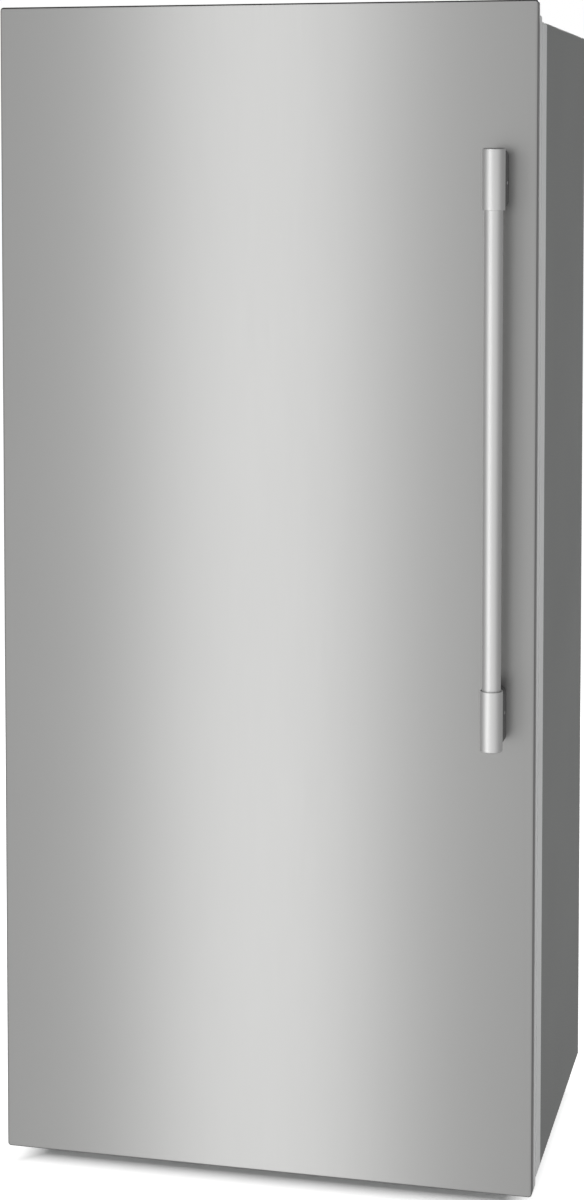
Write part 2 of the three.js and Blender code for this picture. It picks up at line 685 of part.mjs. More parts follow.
// One fan blade: sections at four radii whose pitch eases from root to tip.
function blade(turn, rootRadius, tipRadius, chord) {
  const stations = 3;
  const thickness = 1.6;
  const positions = [];
  const index = [];
  for (let i = 0; i < stations; i++) {
    const share = i / (stations - 1);
    const r = rootRadius + (tipRadius - rootRadius) * share;
    const pitch = THREE.MathUtils.degToRad(48 - 22 * share);
    const width = chord * (0.75 + 0.35 * share);
    for (const [u, v] of [[-1, -1], [1, -1], [1, 1], [-1, 1]]) {
      const a = (u * width) / 2;
      const b = (v * thickness) / 2;
      const across = a * Math.cos(pitch) - b * Math.sin(pitch);
      const along = a * Math.sin(pitch) + b * Math.cos(pitch);
      positions.push(
        r * Math.cos(turn) - across * Math.sin(turn),
        r * Math.sin(turn) + across * Math.cos(turn),
        along,
      );
    }
  }
  const quad = (a, b, c, d) => index.push(a, b, c, a, c, d);
  for (let i = 0; i < stations - 1; i++) {
    for (let j = 0; j < 4; j++) {
      const next = (j + 1) % 4;
      quad(4 * i + j, 4 * i + next, 4 * i + 4 + next, 4 * i + 4 + j);
    }
  }
  const last = 4 * (stations - 1);
  quad(3, 2, 1, 0);
  quad(last, last + 1, last + 2, last + 3);
  const geometry = new THREE.BufferGeometry();
  geometry.setAttribute("position", new THREE.Float32BufferAttribute(positions, 3));
  geometry.setIndex(index);
  return toSolid(geometry);
}

// A fan drawn about the Z axis at the origin, its shaft bore open towards -Z.
function fan() {
  const blades = [];
  for (let i = 0; i < FAN_BLADES; i++) {
    blades.push(blade((i * 2 * Math.PI) / FAN_BLADES, FAN_HUB - 3, FAN_DIAMETER / 2, FAN_CHORD));
  }
  const hub = rod(FAN_HUB, 2 * FAN_HALF, "z", [0, 0, -FAN_HALF], 15);
  const bore = rod(SHAFT_RADIUS + GAP, 2 * FAN_HALF - 4, "z", [0, 0, -FAN_HALF - CUT], 8);
  return cut(join(hub, ...blades), bore);
}

// A fan motor and its shaft, drawn on the -Z side of a fan at the origin.
const motorFront = -FAN_HALF - 2;
const motorStrap = motorFront - 20;
function fanMotor() {
  const profile = [[0, 0], [20, 0], [24, 4], [24, 22], [20, 26], [0, 26]];
  const body = revolve(profile, "z", [0, 0, motorFront - 26], 16);
  return join(body, rod(SHAFT_RADIUS, 2 * FAN_HALF - 4, "z", [0, 0, motorFront - CUT], 8));
}

// A strap across the motor with two feet on the wall behind it.
function evaporatorMotor(wallDistance) {
  const strap = box(-MOTOR_ARM, MOTOR_ARM, -7, 7, motorStrap, motorStrap + 4);
  const feet = [-1, 1].map((side) => {
    const x = side * (MOTOR_ARM - 4);
    return box(x - 4, x + 4, -7, 7, -wallDistance, motorStrap + 4);
  });
  return join(fanMotor(), strap, ...feet);
}

// A strap along +X to the ceiling, bent over at its end.
function condenserMotor(ceilingDistance) {
  const strap = box(0, ceilingDistance, -12, 12, motorStrap, motorStrap + 2);
  const foot = box(ceilingDistance - 2, ceilingDistance, -30, 30, motorStrap - 12, motorStrap + 2);
  return join(fanMotor(), strap, foot);
}

// The shallow pan that catches the defrost water, under the condenser and the drain.
function dripTray() {
  const x0 = condenserX - CONDENSER_WIDTH / 2 + 3;
  const x1 = drainX + 24;
  const y = machineMiddle;
  const half = TRAY_DEPTH / 2;
  const z = machineFloor + GAP;
  const wall = 2;
  const pan = planProfile(rounded(x0, x1, y - half, y + half, 10), z, z + TRAY_HEIGHT);
  const hollow = planProfile(
    rounded(x0 + wall, x1 - wall, y - half + wall, y + half - wall, 8), z + wall, z + TRAY_HEIGHT + CUT,
  );
  return cut(pan, hollow);
}

// A collared pipe from the trough down through the foam, its mouth just inside the drip tray.
function drainTube() {
  const bottom = machineFloor + GAP + TRAY_HEIGHT - 6;
  const collar = stepTop + GAP;
  const profile = [
    [DRAIN_BORE, bottom], [DRAIN_RADIUS, bottom], [DRAIN_RADIUS, collar], [DRAIN_RADIUS + 4, collar],
    [DRAIN_RADIUS + 4, collar + DRAIN_COLLAR], [DRAIN_BORE, collar + DRAIN_COLLAR], [DRAIN_BORE, bottom],
  ];
  return revolve(profile, "z", [drainX, drainY, 0], 12);
}

// The cover over the machine compartment, with two banks of pressed louvres.
function machineCover() {
  const half = cabinetHalf - 3;
  const y0 = wrapperRear + GAP;
  const bottom = cabinetBottom + 4;
  const top = machineTop - 3 - GAP;
  let cover = box(-half, half, y0, y0 + SHEET, bottom, top);
  const pitch = (top - bottom - 50) / LOUVRES;
  const reach = LOUVRE_LENGTH / 2;
  for (const x of [-half + LOUVRE_INSET + reach, half - GLAND_SPACE - reach]) {
    for (let i = 0; i < LOUVRES; i++) {
      const z = bottom + 25 + (i + 0.5) * pitch;
      const y = y0 + PANEL_RISE;
      const hood = polygon([[y0 + 0.4, z + 6], [y, z - 2], [y, z - 3.4], [y0 + 0.4, z + 4]]);
      const slot = box(x - reach + 2, x + reach - 2, y0 - CUT, y0 + SHEET + CUT, z - 4, z + 3);
      cover = join(cut(cover, slot), sideProfile(hood, x - reach, x + reach));
    }
  }
  return cut(cover, rod(GLAND_RADIUS + GAP, 4 * CUT, "y", [glandX, y0 - CUT, glandZ], 16));
}

// The bush that the mains lead would leave by.
function cordGland() {
  const seat = SHEET + GAP;
  const r = GLAND_RADIUS;
  const profile = [
    [5, -8], [r, -8], [r, seat], [r + 4, seat], [r + 4, seat + 1.2],
    [9, PANEL_RISE], [5, PANEL_RISE], [5, -8],
  ];
  return revolve(profile, "y", [glandX, wrapperRear + GAP, glandZ], 16);
}

// ---- evaporator space, behind the inner rear cover ----
function evaporatorCover() {
  const half = cavityHalf - GAP;
  const y0 = coverFront;
  const y1 = y0 + COVER_SHEET;
  const top = cavityTop - GAP;
  const bottom = stepTop + GAP;
  const outline = rounded(-half, half, bottom - LINER_RADIUS, top, LINER_RADIUS);
  const trim = box(-half - CUT, half + CUT, y0 - CUT, y1 + CUT, bottom - 2 * LINER_RADIUS, bottom);
  const sheet = cut(plate(outline, y0, y1), trim);
  const ductBottom = SHELF_FIRST_Z + 40;
  const ductTop = cavityTop - CONTROL_HEIGHT - 30;
  const outlets = SHELF_COUNT + 1;
  const ductHalf = DUCT_WIDTH / 2;
  const duct = (inset, rear) => polygon([
    [-ductHalf - DUCT_RISE + inset, rear],
    [-ductHalf + inset, y0 - DUCT_RISE + inset],
    [ductHalf - inset, y0 - DUCT_RISE + inset],
    [ductHalf + DUCT_RISE - inset, rear],
  ]);
  const raised = planProfile(duct(0, y0 + COVER_SHEET / 2), ductBottom, ductTop);
  const hollow = planProfile(duct(COVER_SHEET, y1 + CUT), ductBottom + COVER_SHEET, ductTop - COVER_SHEET);
  let cover = cut(join(sheet, raised), hollow);
  for (let i = 0; i < outlets; i++) {
    const z = ductBottom + ((i + 0.5) * (ductTop - ductBottom)) / outlets;
    for (const x of [-60, 60]) {
      const face = y0 - DUCT_RISE;
      cover = cut(cover, box(x - 42, x + 42, face - CUT, face + COVER_SHEET + CUT, z - 4, z + 4));
    }
  }
  for (let i = 0; i < RETURN_SLOTS; i++) {
    const x = (i - (RETURN_SLOTS - 1) / 2) * 76;
    cover = cut(cover, box(x - 30, x + 30, y0 - CUT, y1 + CUT, bottom + 14, bottom + 22));
  }
  return cover;
}

const coilFirst = stepTop + COIL_RISE;
const coilHalf = cavityHalf - COIL_INSET;
const coilBottom = coilFirst - FIN_MARGIN;
const coilTop = coilFirst + (COIL_PASSES - 1) * COIL_PITCH + FIN_MARGIN;

// Straight passes with return bends, pushed through flat fins between two end plates.
function evaporatorCoil() {
  const y = (coverFront + COVER_SHEET + linerRear) / 2;
  const r = COIL_TUBE_RADIUS;
  const pitch = COIL_PITCH;
  const passes = COIL_PASSES;
  const pieces = [];
  for (let i = 0; i < passes; i++) {
    const z = coilFirst + i * pitch;
    pieces.push(rod(r, 2 * coilHalf + 8, "x", [-coilHalf - 4, y, z], 6));
    const side = i % 2 === 0 ? 1 : -1;
    if (i < passes - 1) pieces.push(returnBend(side * (coilHalf + 4), y, z, pitch, side, r));
  }
  for (let i = 0; i <= COIL_FINS; i++) {
    const x = -coilHalf + (i * 2 * coilHalf) / COIL_FINS;
    const isEnd = i === 0 || i === COIL_FINS;
    const rear = isEnd ? linerRear - GAP : y + FIN_HALF;
    pieces.push(box(x - SHEET / 2, x + SHEET / 2, y - FIN_HALF, rear, coilBottom, coilTop));
  }
  return join(...pieces);
}

// A sheathed element bent to a long U, clipped up to the coil's end plates.
function defrostHeater() {
  const y = (coverFront + COVER_SHEET + linerRear) / 2;
  const z = coilFirst - HEATER_DROP;
  const r = HEATER_RADIUS;
  const spread = HEATER_SPREAD;
  const bend = tube(
    [
      [coilHalf - 30, y - spread, z], [coilHalf - 12, y - spread, z], [coilHalf + 2, y - spread * 0.7, z],
      [coilHalf + 7, y, z], [coilHalf + 2, y + spread * 0.7, z], [coilHalf - 12, y + spread, z],
      [coilHalf - 30, y + spread, z],
    ],
    r, 3, 8,
  );
  const runs = [-spread, spread].map((dy) => rod(r, 2 * coilHalf - 24, "x", [-coilHalf, y + dy, z], 6));
  const clipTop = coilBottom - GAP;
  const clips = [-coilHalf, coilHalf].map((x) => box(x - 3, x + 3, y - 20, y + 20, z - 2, clipTop));
  return join(bend, ...runs, ...clips);
}

// A sloping gutter, shaped to the liner's rear corner, that leads the melt water to its middle.
function drainTrough() {
  const y0 = coverFront + COVER_SHEET + GAP;
  const y1 = linerRear - GAP;
  const half = coilHalf + TROUGH_OVERLAP;
  const low = stepTop + GAP + DRAIN_COLLAR + GAP;
  const section = (inset) => polygon([
    [-half + inset, low + TROUGH_RIM + inset],
    [-half + inset, low + TROUGH_SLOPE + inset],
    [drainX - TROUGH_MOUTH, low + inset],
    [drainX + TROUGH_MOUTH, low + inset],
    [half - inset, low + TROUGH_SLOPE + inset],
    [half - inset, low + TROUGH_RIM + inset],
  ]);
  const t = TROUGH_SHEET;
  const block = plate(section(0), y0, y1).intersect(cavity(-GAP, linerFront));
  const hollow = plate(section(t), y0 + t, y1).intersect(cavity(-GAP - t, linerFront));
  return cut(block, hollow, rod(DRAIN_BORE, 20, "z", [drainX, drainY, low - CUT], 12));
}

// ---- fittings in the storage space ----
function controlHousing() {
  const half = CONTROL_WIDTH / 2;
  const y0 = controlFront;
  const y1 = y0 + CONTROL_DEPTH;
  const top = cavityTop - GAP;
  const low = top - CONTROL_HEIGHT;
  const side = new THREE.Shape();
  side.moveTo(y0 + 4, low);
  side.lineTo(y1 - 30, low + 4);
  side.lineTo(y1, top - 8);
  side.lineTo(y1, top);
  side.lineTo(y0, top);
  side.absarc(y0 + 4, low + 4, 4, Math.PI, 1.5 * Math.PI);
  let housing = sideProfile(side, -half, half);
  for (const x of buttonPlaces) {
    const centre = [x, y0 - CUT, controlZ];
    housing = cut(housing, rod(BUTTON_DIAMETER / 2 + GAP, 9 + BUTTON_TRAVEL + CUT, "y", centre, 16));
  }
  const socketDepth = PLUNGER_LENGTH + 8;
  const socket = rod(PLUNGER_DIAMETER / 2 + GAP, socketDepth, "y", [PLUNGER_X, y0 - CUT, controlZ], 16);
  return cut(housing, socket);
}

const controlZ = cavityTop - GAP - CONTROL_HEIGHT / 2;
const buttonPlaces = [-BUTTON_SPACING / 2, BUTTON_SPACING / 2];

// Drawn about the Y axis at the origin, its crowned face towards -Y.
function controlButton() {
  const r = BUTTON_DIAMETER / 2;
  const profile = [[0, -2.4], [r * 0.6, -2.1], [r - 0.6, -1.5], [r, -0.8], [r, 8.7], [0, 8.7]];
  return revolve(profile, "y", [0, 0, 0], 16);
}

function lampPlunger() {
  const r = PLUNGER_DIAMETER / 2;
  const reach = controlFront - dikeRear - GAP;
  const rear = PLUNGER_LENGTH;
  const profile = [[0, -reach], [r * 0.6, 0.4 - reach], [r, 2 - reach], [r, rear], [0, rear]];
  return revolve(profile, "y", [0, 0, 0], 16);
}

function interiorLamp() {
  const y0 = controlFront + CONTROL_DEPTH + 20;
  const low = cavityTop - GAP - 13;
  const lens = roundedPlate(rounded(-70, 70, low, low + 34, 9), y0, y0 + 46, 4);
  return cut(lens, box(-80, 80, y0 - CUT, y0 + 47, cavityTop - GAP, cavityTop + 40));
}

const shelfFront = linerFront + SHELF_FRONT_SETBACK;
const shelfRear = coverFront - DUCT_RISE - 2;
const shelfHalf = cavityHalf - 3;

// A rebated frame with a rolled front edge; the glass lies in the rebate.
function shelfFrame(z) {
  const h = SHELF_FRAME_HEIGHT;
  const w = SHELF_FRAME_WIDTH;
  const outer = planProfile(rounded(-shelfHalf, shelfHalf, shelfFront + 5, shelfRear, 8), z, z + h);
  const nose = new THREE.Shape();
  nose.absarc(shelfFront + h / 2, z + h / 2, h / 2, Math.PI / 2, 1.5 * Math.PI);
  nose.lineTo(shelfFront + w, z);
  nose.lineTo(shelfFront + w, z + h);
  const front = sideProfile(nose, -shelfHalf, shelfHalf, 3);
  const opening = planProfile(
    rounded(-shelfHalf + w, shelfHalf - w, shelfFront + w, shelfRear - w, 6), z - CUT, z + h + CUT,
  );
  const seat = z + h - GLASS_THICKNESS - GAP;
  const rebate = planProfile(glassOutline(-GAP), seat, z + h + CUT);
  return cut(join(outer, front), opening, rebate);
}

const glassOutline = (inset) => {
  const lap = SHELF_FRAME_WIDTH - 9;
  return rounded(
    -shelfHalf + lap + inset, shelfHalf - lap - inset, shelfFront + lap + inset, shelfRear - lap - inset, 7,
  );
};

function shelfGlass(z) {
  const top = z + SHELF_FRAME_HEIGHT;
  return planProfile(glassOutline(0), top - GLASS_THICKNESS, top);
}

const drawerFront = linerFront + DRAWER_SETBACK;

// A tapered tub with flanges that run on the ledges and a deep front with a curled grip.
function drawer({ bottom, height, depth }) {
  const y0 = drawerFront;
  const y1 = y0 + depth;
  const top = bottom + height;
  const half = cavityHalf - LEDGE_WIDTH - 4;
  const panelHalf = cavityHalf - LEDGE_WIDTH - 2;
  const tub = (inset) => {
    const shape = new THREE.Shape();
    const radius = 16 - inset;
    shape.moveTo(y0 + 6 + inset, top + inset);
    shape.lineTo(y0 + 10 + inset, bottom + inset + radius);
    shape.absarc(y0 + 10 + inset + radius, bottom + inset + radius, radius, Math.PI, 1.5 * Math.PI);
    shape.absarc(y1 - 8 - inset - radius, bottom + inset + radius, radius, -Math.PI / 2, 0);
    shape.lineTo(y1 - inset, top + inset);
    return shape;
  };
  const outer = sideProfile(tub(0), -half, half);
  const inner = sideProfile(tub(DRAWER_WALL), -half + DRAWER_WALL, half - DRAWER_WALL);
  const flangeHalf = cavityHalf - 4;
  const railZ = top - DRAWER_FLANGE;
  const rim = planProfile(rounded(-flangeHalf, flangeHalf, y0 + 6, y1, 5), railZ, railZ + DRAWER_WALL);
  const rimInner = rounded(-half + 1, half - 1, y0 + 12, y1 - 2, 10);
  const rimHole = planProfile(rimInner, railZ - CUT, railZ + DRAWER_WALL + CUT);
  const panel = roundedPlate(rounded(-panelHalf, panelHalf, bottom + 4, top, 8), y0 + 5, y0 + 10, 1.5);
  const grip = new THREE.Shape();
  grip.moveTo(y0 + 8, top);
  grip.lineTo(y0 - 3, top);
  grip.absarc(y0 - 1, top - 3, 3, Math.PI * 0.75, Math.PI);
  grip.lineTo(y0 - 4, top - 16);
  grip.lineTo(y0 - 1, top - 16);
  grip.lineTo(y0 - 1, top - 4);
  grip.lineTo(y0 + 8, top - 6);
  const curl = sideProfile(grip, -180, 180);
  return join(cut(join(outer, cut(rim, rimHole), panel), inner), curl);
}

// ---- hinges ----
const bracketRear = hingeY + BRACKET_LENGTH;

// Seen from above: a round nose on the pin, widening over the cabinet.
function bracketPlan() {
  const nose = PIN_DIAMETER / 2 + 5;
  const shape = new THREE.Shape();
  shape.absarc(hingeX, hingeY, nose, Math.PI, 2 * Math.PI);
  shape.lineTo(hingeX + BRACKET_WIDTH - 6, hingeY + nose + 4);
  shape.lineTo(hingeX + BRACKET_WIDTH - 6, bracketRear);
  shape.lineTo(hingeX, bracketRear);
  shape.lineTo(hingeX, hingeY + nose);
  return shape;
}

// A plate joggled up from the cabinet top to clear the door, with its pin riveted in the nose.
function topHingeBracket() {
  const low = cabinetTop + GAP;
  const high = doorBackTop + HINGE_RUNNING;
  const s = BRACKET_SHEET;
  const profile = polygon([
    [0, high], [cabinetFront + 2, high], [cabinetFront + 8, low], [bracketRear + CUT, low],
    [bracketRear + CUT, low + s], [cabinetFront + 10, low + s], [cabinetFront + 4, high + s], [0, high + s],
  ]);
  const folded = sideProfile(profile, -cabinetHalf, 0);
  const leaf = folded.intersect(planProfile(bracketPlan(), low - CUT, high + s + CUT));
  const pinLength = BUSH_LENGTH + 1;
  const pin = rod(PIN_DIAMETER / 2, pinLength, "z", [hingeX, hingeY, high + s / 2 - pinLength], 20);
  const head = rod(PIN_DIAMETER / 2 + 2, 2, "z", [hingeX, hingeY, high + s - 0.5], 20);
  return join(leaf, pin, head);
}

// The moulded cover over the bracket's rear part.
function topHingeCover() {
  const w = 2;
  const x0 = hingeX - w - GAP;
  const x1 = hingeX + BRACKET_WIDTH + 4;
  const y0 = cabinetFront + 14;
  const y1 = bracketRear + 16;
  const z0 = cabinetTop + GAP;
  const cover = planProfile(rounded(x0, x1, y0, y1, 8), z0, z0 + HINGE_COVER_HEIGHT);
  const inside = rounded(x0 + w, x1 - w, y0 + w, y1 - w, 1);
  const hollow = planProfile(inside, z0 - CUT, z0 + HINGE_COVER_HEIGHT - w);
  const mouthRight = hingeX + BRACKET_WIDTH - 5;
  const mouth = box(x0 + w, mouthRight, y0 - CUT, y0 + w + CUT, z0 - CUT, z0 + BRACKET_SHEET + 1);
  return cut(cover, hollow, mouth);
}

// A plate under the door that rises behind it to the cabinet's underside, with an upright pin.
function bottomHingeBracket() {
  const low = doorBottom - HINGE_RUNNING - BRACKET_SHEET;
  const high = cabinetBottom - GAP - BRACKET_SHEET;
  const s = BRACKET_SHEET;
  const upright = cabinetFront + 9;
  const profile = polygon([
    [0, low], [upright, low], [upright, high], [bracketRear + CUT, high],
    [bracketRear + CUT, high + s], [upright - s, high + s], [upright - s, low + s], [0, low + s],
  ]);
  const folded = sideProfile(profile, -cabinetHalf, 0);
  const leaf = folded.intersect(planProfile(bracketPlan(), low - CUT, high + s + CUT));
  const behindGrille = box(
    -cabinetHalf, 0, GRILLE_SETBACK - GAP, bracketRear + 2 * CUT, low - CUT, high + 2 * s,
  );
  const pinLength = s / 2 + HINGE_RUNNING + BUSH_LENGTH;
  const pin = rod(PIN_DIAMETER / 2, pinLength, "z", [hingeX, hingeY, low + s / 2], 20);
  return join(cut(leaf, behindGrille), pin);
}

// A flanged plastic bush in the door, its flange outwards; drawn about Z at the origin.
function hingeBush(up) {
  const bore = PIN_DIAMETER / 2 + GAP;
  const sleeve = BUSH_DIAMETER / 2;
  const flange = BUSH_FLANGE / 2;
  const profile = [
    [bore, -BUSH_LENGTH], [sleeve, -BUSH_LENGTH], [sleeve, 0], [flange, 0], [flange, 0.8], [bore, 0.8],
  ];
  const points = up ? profile : profile.map(([r, z]) => [r, -z]).reverse();
  return revolve([...points, points[0]], "z", [0, 0, 0], 16);
}

// ---- door ----
const skinOutline = (inset) => rounded(
  -doorHalf + inset, doorHalf - inset, doorBottom + inset, doorTop - inset, SKIN_CORNER_RADIUS - inset,
);

// The front pan: rounded front edge, returns on all sides and a hem behind, deeper at the top.
function doorSkin() {
  const radius = SKIN_EDGE_RADIUS;
  const block = roundedPlate(skinOutline(0), 0, SKIN_DEPTH + 4 * radius, radius, 3);
  const rearCut = box(-doorHalf - CUT, doorHalf + CUT, SKIN_DEPTH, SKIN_DEPTH + 5 * radius, 0, doorTop + CUT);
  const pocket = plate(skinOutline(SHEET), SHEET, SKIN_DEPTH - SHEET);
  const opening = rounded(
    -doorHalf + SKIN_HEM, doorHalf - SKIN_HEM, doorBottom + SKIN_HEM, doorBackTop - SKIN_HEM, 4,
  );
  return cut(block, rearCut, pocket, plate(opening, SKIN_DEPTH - SHEET - CUT, SKIN_DEPTH + CUT));
}

const backOutline = (inset) => rounded(
  -doorHalf + inset, doorHalf - inset, doorBottom + inset, doorBackTop - inset, DOOR_BACK_RADIUS - inset,
);

// Holes for the two hinge bushes, one from below and one from above.
function bushHoles() {
  const depth = BUSH_LENGTH + 4;
  const radius = BUSH_DIAMETER / 2 + GAP;
  const from = [doorBottom - CUT, doorBackTop + CUT - depth];
  return from.map((z) => rod(radius, depth, "z", [hingeX, hingeY, z], 20));
}

// The gasket's inner edge, grown outwards.
const gasketOutline = (grow) => rounded(
  -cavityHalf - GASKET_INSET - grow, cavityHalf + GASKET_INSET + grow,
  cavityBottom - GASKET_INSET - grow, cavityTop + GASKET_INSET + grow, GASKET_RADIUS + grow,
);

// The painted channel behind the skin; its rear flange carries the gasket.
function doorFrame() {
  const y0 = SKIN_DEPTH + GAP;
  const block = plate(backOutline(0), y0, doorRear);
  const pocket = plate(backOutline(SHEET), y0 + SHEET, doorRear - SHEET);
  const hem = SKIN_HEM;
  const front = rounded(-doorHalf + hem, doorHalf - hem, doorBottom + hem, doorBackTop - hem, 4);
  return cut(
    block, pocket, plate(front, y0 - CUT, y0 + SHEET + CUT),
    plate(gasketOutline(-FLANGE_LAP), doorRear - SHEET - CUT, doorRear + CUT), ...bushHoles(),
  );
}

// The inner face: a raised dike round a shallow pocket, inset all round.
function plug(inset, front, segments = 2) {
  const half = plugHalf - inset;
  const outline = rounded(-half, half, plugBottom + inset, plugTop - inset, 18 - inset);
  const block = roundedPlate(outline, front - 20, dikeRear - inset, 5 - inset, segments);
  const nearSide = box(-doorHalf, doorHalf, front - 30, front, 0, doorTop);
  const inner = pocketHalf + inset;
  const pocketShape = rounded(
    -inner, inner, plugBottom + DIKE_WIDTH - inset, plugTop - DIKE_WIDTH + inset, 12 + inset,
  );
  const pocket = plate(pocketShape, doorRear + DOOR_POCKET - inset, dikeRear + 2 * CUT, segments);
  return cut(block, nearSide, pocket);
}

const binZ = (index) => BIN_FIRST_Z + index * BIN_PITCH;
const binHalf = pocketHalf - GAP - BIN_HOOK - 0.7;
const bossTop = (z) => z + BIN_BACK_HEIGHT - 8;

function doorLiner() {
  const skin = DOOR_LINER_SHEET;
  const front = doorRear + GAP;
  const sheet = plate(gasketOutline(-FLANGE_LAP / 2), front, front + skin);
  let liner = cut(join(sheet, plug(0, front)), plug(skin, front - CUT));
  for (let i = 0; i < BIN_COUNT; i++) {
    for (const side of [-1, 1]) {
      const wall = side * (pocketHalf + skin / 2);
      const tip = side * (pocketHalf - BIN_HOOK);
      const z = bossTop(binZ(i)) - GAP;
      liner = join(liner, box(
        Math.min(wall, tip), Math.max(wall, tip), doorRear + DOOR_POCKET + 14, dikeRear - 14, z - 24, z,
      ));
    }
  }
  return liner;
}

// The foam in the dike stands on the slab of foam behind it.
const slabRear = doorRear + DOOR_POCKET - DOOR_LINER_SHEET - GAP;

function doorInsulation() {
  const inset = SHEET + GAP;
  const rearOfSkin = SKIN_DEPTH - inset;
  const frontCore = roundedPlate(skinOutline(inset), inset, rearOfSkin, 1.6, 1);
  const hem = SKIN_HEM + GAP;
  const neck = rounded(-doorHalf + hem, doorHalf - hem, doorBottom + hem, doorBackTop - hem, 3.7);
  const neckCore = plate(neck, rearOfSkin - CUT, SKIN_DEPTH + GAP + inset + CUT);
  const backCore = plate(backOutline(inset), SKIN_DEPTH + GAP + inset, doorRear - inset);
  const stem = plate(gasketOutline(-FLANGE_LAP - GAP), doorRear - inset - CUT, doorRear);
  const inLiner = cut(
    plug(DOOR_LINER_SHEET + GAP, doorRear - CUT),
    box(-doorHalf, doorHalf, slabRear, dikeRear + CUT, 0, doorTop),
  );
  return cut(join(frontCore, neckCore, backCore, stem, inLiner), ...bushHoles());
}

function doorDikeFoam() {
  return plug(DOOR_LINER_SHEET + GAP, slabRear + GAP);
}

// A bellows seal: a flat base on the door, a hollow between two lips, the magnet strip at the cabinet.
function doorGasket() {
  const y0 = doorRear + GAP;
  const y1 = cabinetFront - GAP;
  const ring = (near, far, from, to) =>
    cut(plate(gasketOutline(far), from, to, 1), plate(gasketOutline(near), from - CUT, to + CUT, 1));
  const width = GASKET_WIDTH;
  const outerGroove = ring(width - 5, width + CUT, y0 + 1.6, y1 - 1.8);
  const innerGroove = ring(-CUT, 5, y0 + 1.6, y1 - 1.8);
  return cut(ring(0, width, y0, y1), outerGroove, innerGroove);
}

// A door bin: high rounded front, low back, and hooks that hang on the dikes' bosses.
function doorBin(z) {
  const y0 = doorRear + DOOR_POCKET + GAP + 1;
  const y1 = y0 + BIN_DEPTH;
  const section = (inset) => {
    const radius = 14 - inset;
    const shape = new THREE.Shape();
    shape.moveTo(y0 + inset, z + BIN_BACK_HEIGHT + inset * 3);
    shape.lineTo(y0 + inset, z + inset);
    shape.absarc(y1 - 6 - radius - inset, z + inset + radius, radius, -Math.PI / 2, 0);
    shape.lineTo(y1 - inset, z + BIN_HEIGHT + inset * 3);
    shape.lineTo(y1 - 12 + inset, z + BIN_HEIGHT + inset * 3);
    return shape;
  };
  const outer = sideProfile(section(0), -binHalf, binHalf);
  const inner = sideProfile(section(BIN_WALL), -binHalf + BIN_WALL, binHalf - BIN_WALL);
  const hooks = [-1, 1].map((side) => {
    const tip = side * (pocketHalf - 1);
    const root = side * (binHalf - BIN_WALL / 2);
    return box(
      Math.min(tip, root), Math.max(tip, root), y0 + 16, dikeRear - 18, bossTop(z), bossTop(z) + 5,
    );
  });
  return cut(join(outer, ...hooks), inner);
}

// ---- handle ----
const sleeveBore = BAR_DIAMETER / 2 + SLEEVE_CLEARANCE;

// An end sleeve drawn along Z from the origin, closed at the far end.
function handleSleeve() {
  const r = SLEEVE_DIAMETER / 2;
  const c = SLEEVE_CHAMFER;
  const length = SLEEVE_LENGTH;
  const depth = length - SLEEVE_CLOSED;
  return revolve(
    [[0, depth], [sleeveBore, depth], [sleeveBore, c / 2], [sleeveBore + c / 2, 0], [r - c, 0], [r, c],
      [r, length - c], [r - c, length], [0, length]],
    "z", [0, 0, 0], 28,
  );
}

function handleBar() {
  const inset = SLEEVE_CLOSED + GAP;
  const bottom = handleTop - HANDLE_LENGTH + inset;
  return rod(BAR_DIAMETER / 2, HANDLE_LENGTH - 2 * inset, "z", [handleX, -HANDLE_REACH, bottom], 28);
}

// A stand-off: an obround block from the door's face, its front hollowed to sit on the sleeve.
function handleStandoff(centreZ) {
  const half = STANDOFF_WIDTH / 2;
  const tall = STANDOFF_HEIGHT / 2;
  const shape = rounded(handleX - half, handleX + half, centreZ - tall, centreZ + tall, STANDOFF_RADIUS);
  const block = plate(shape, -HANDLE_REACH, -GAP, 3);
  const saddleStart = [handleX, -HANDLE_REACH, centreZ - STANDOFF_HEIGHT];
  const saddle = rod(SLEEVE_DIAMETER / 2 + GAP, 2 * STANDOFF_HEIGHT, "z", saddleStart, 28);
  return cut(block, saddle);
}

// ---- assembly: fixed pieces ----
add("cabinet_wrapper", cabinetWrapper(), darkPaint);
add("cabinet_front_frame", cabinetFrontFrame(), silverPaint);
add("cabinet_insulation", cabinetInsulation(), foam);
add("cabinet_liner", cabinetLiner(), whitePlastic);
add("back_panel", backPanel(), zinc);
add("bottom_panel", bottomPanel(), zinc);
add("base_pan", basePan(), zinc);
add("front_crossmember", frontCrossmember(), zinc);
add("toe_grille", toeGrille(), greyPlastic);
add("machine_cover", machineCover(), zinc);
add("cord_gland", cordGland(), greyPlastic);
add("compressor", compressor(), blackPaint);
add("condenser_coil", condenserCoil(), blackPaint);
add("drip_tray", dripTray(), greyPlastic);
add("drain_tube", drainTube(), greyPlastic);
add("evaporator_cover", evaporatorCover(), whitePlastic);
add("evaporator_coil", evaporatorCoil(), aluminium);
add("defrost_heater", defrostHeater(), zinc);
add("drain_trough", drainTrough(), whitePlastic);
add("control_housing", controlHousing(), whitePlastic);
add("interior_lamp", interiorLamp(), clearPlastic);
for (let i = 0; i < SHELF_COUNT; i++) {
  add(`shelf_frame_${i + 1}`, shelfFrame(shelfZ(i)), whitePlastic);
  add(`shelf_glass_${i + 1}`, shelfGlass(shelfZ(i)), glass);
}
add("top_hinge_bracket", topHingeBracket(), zinc);
add("top_hinge_cover", topHingeCover(), greyPlastic);
add("bottom_hinge_bracket", bottomHingeBracket(), zinc);

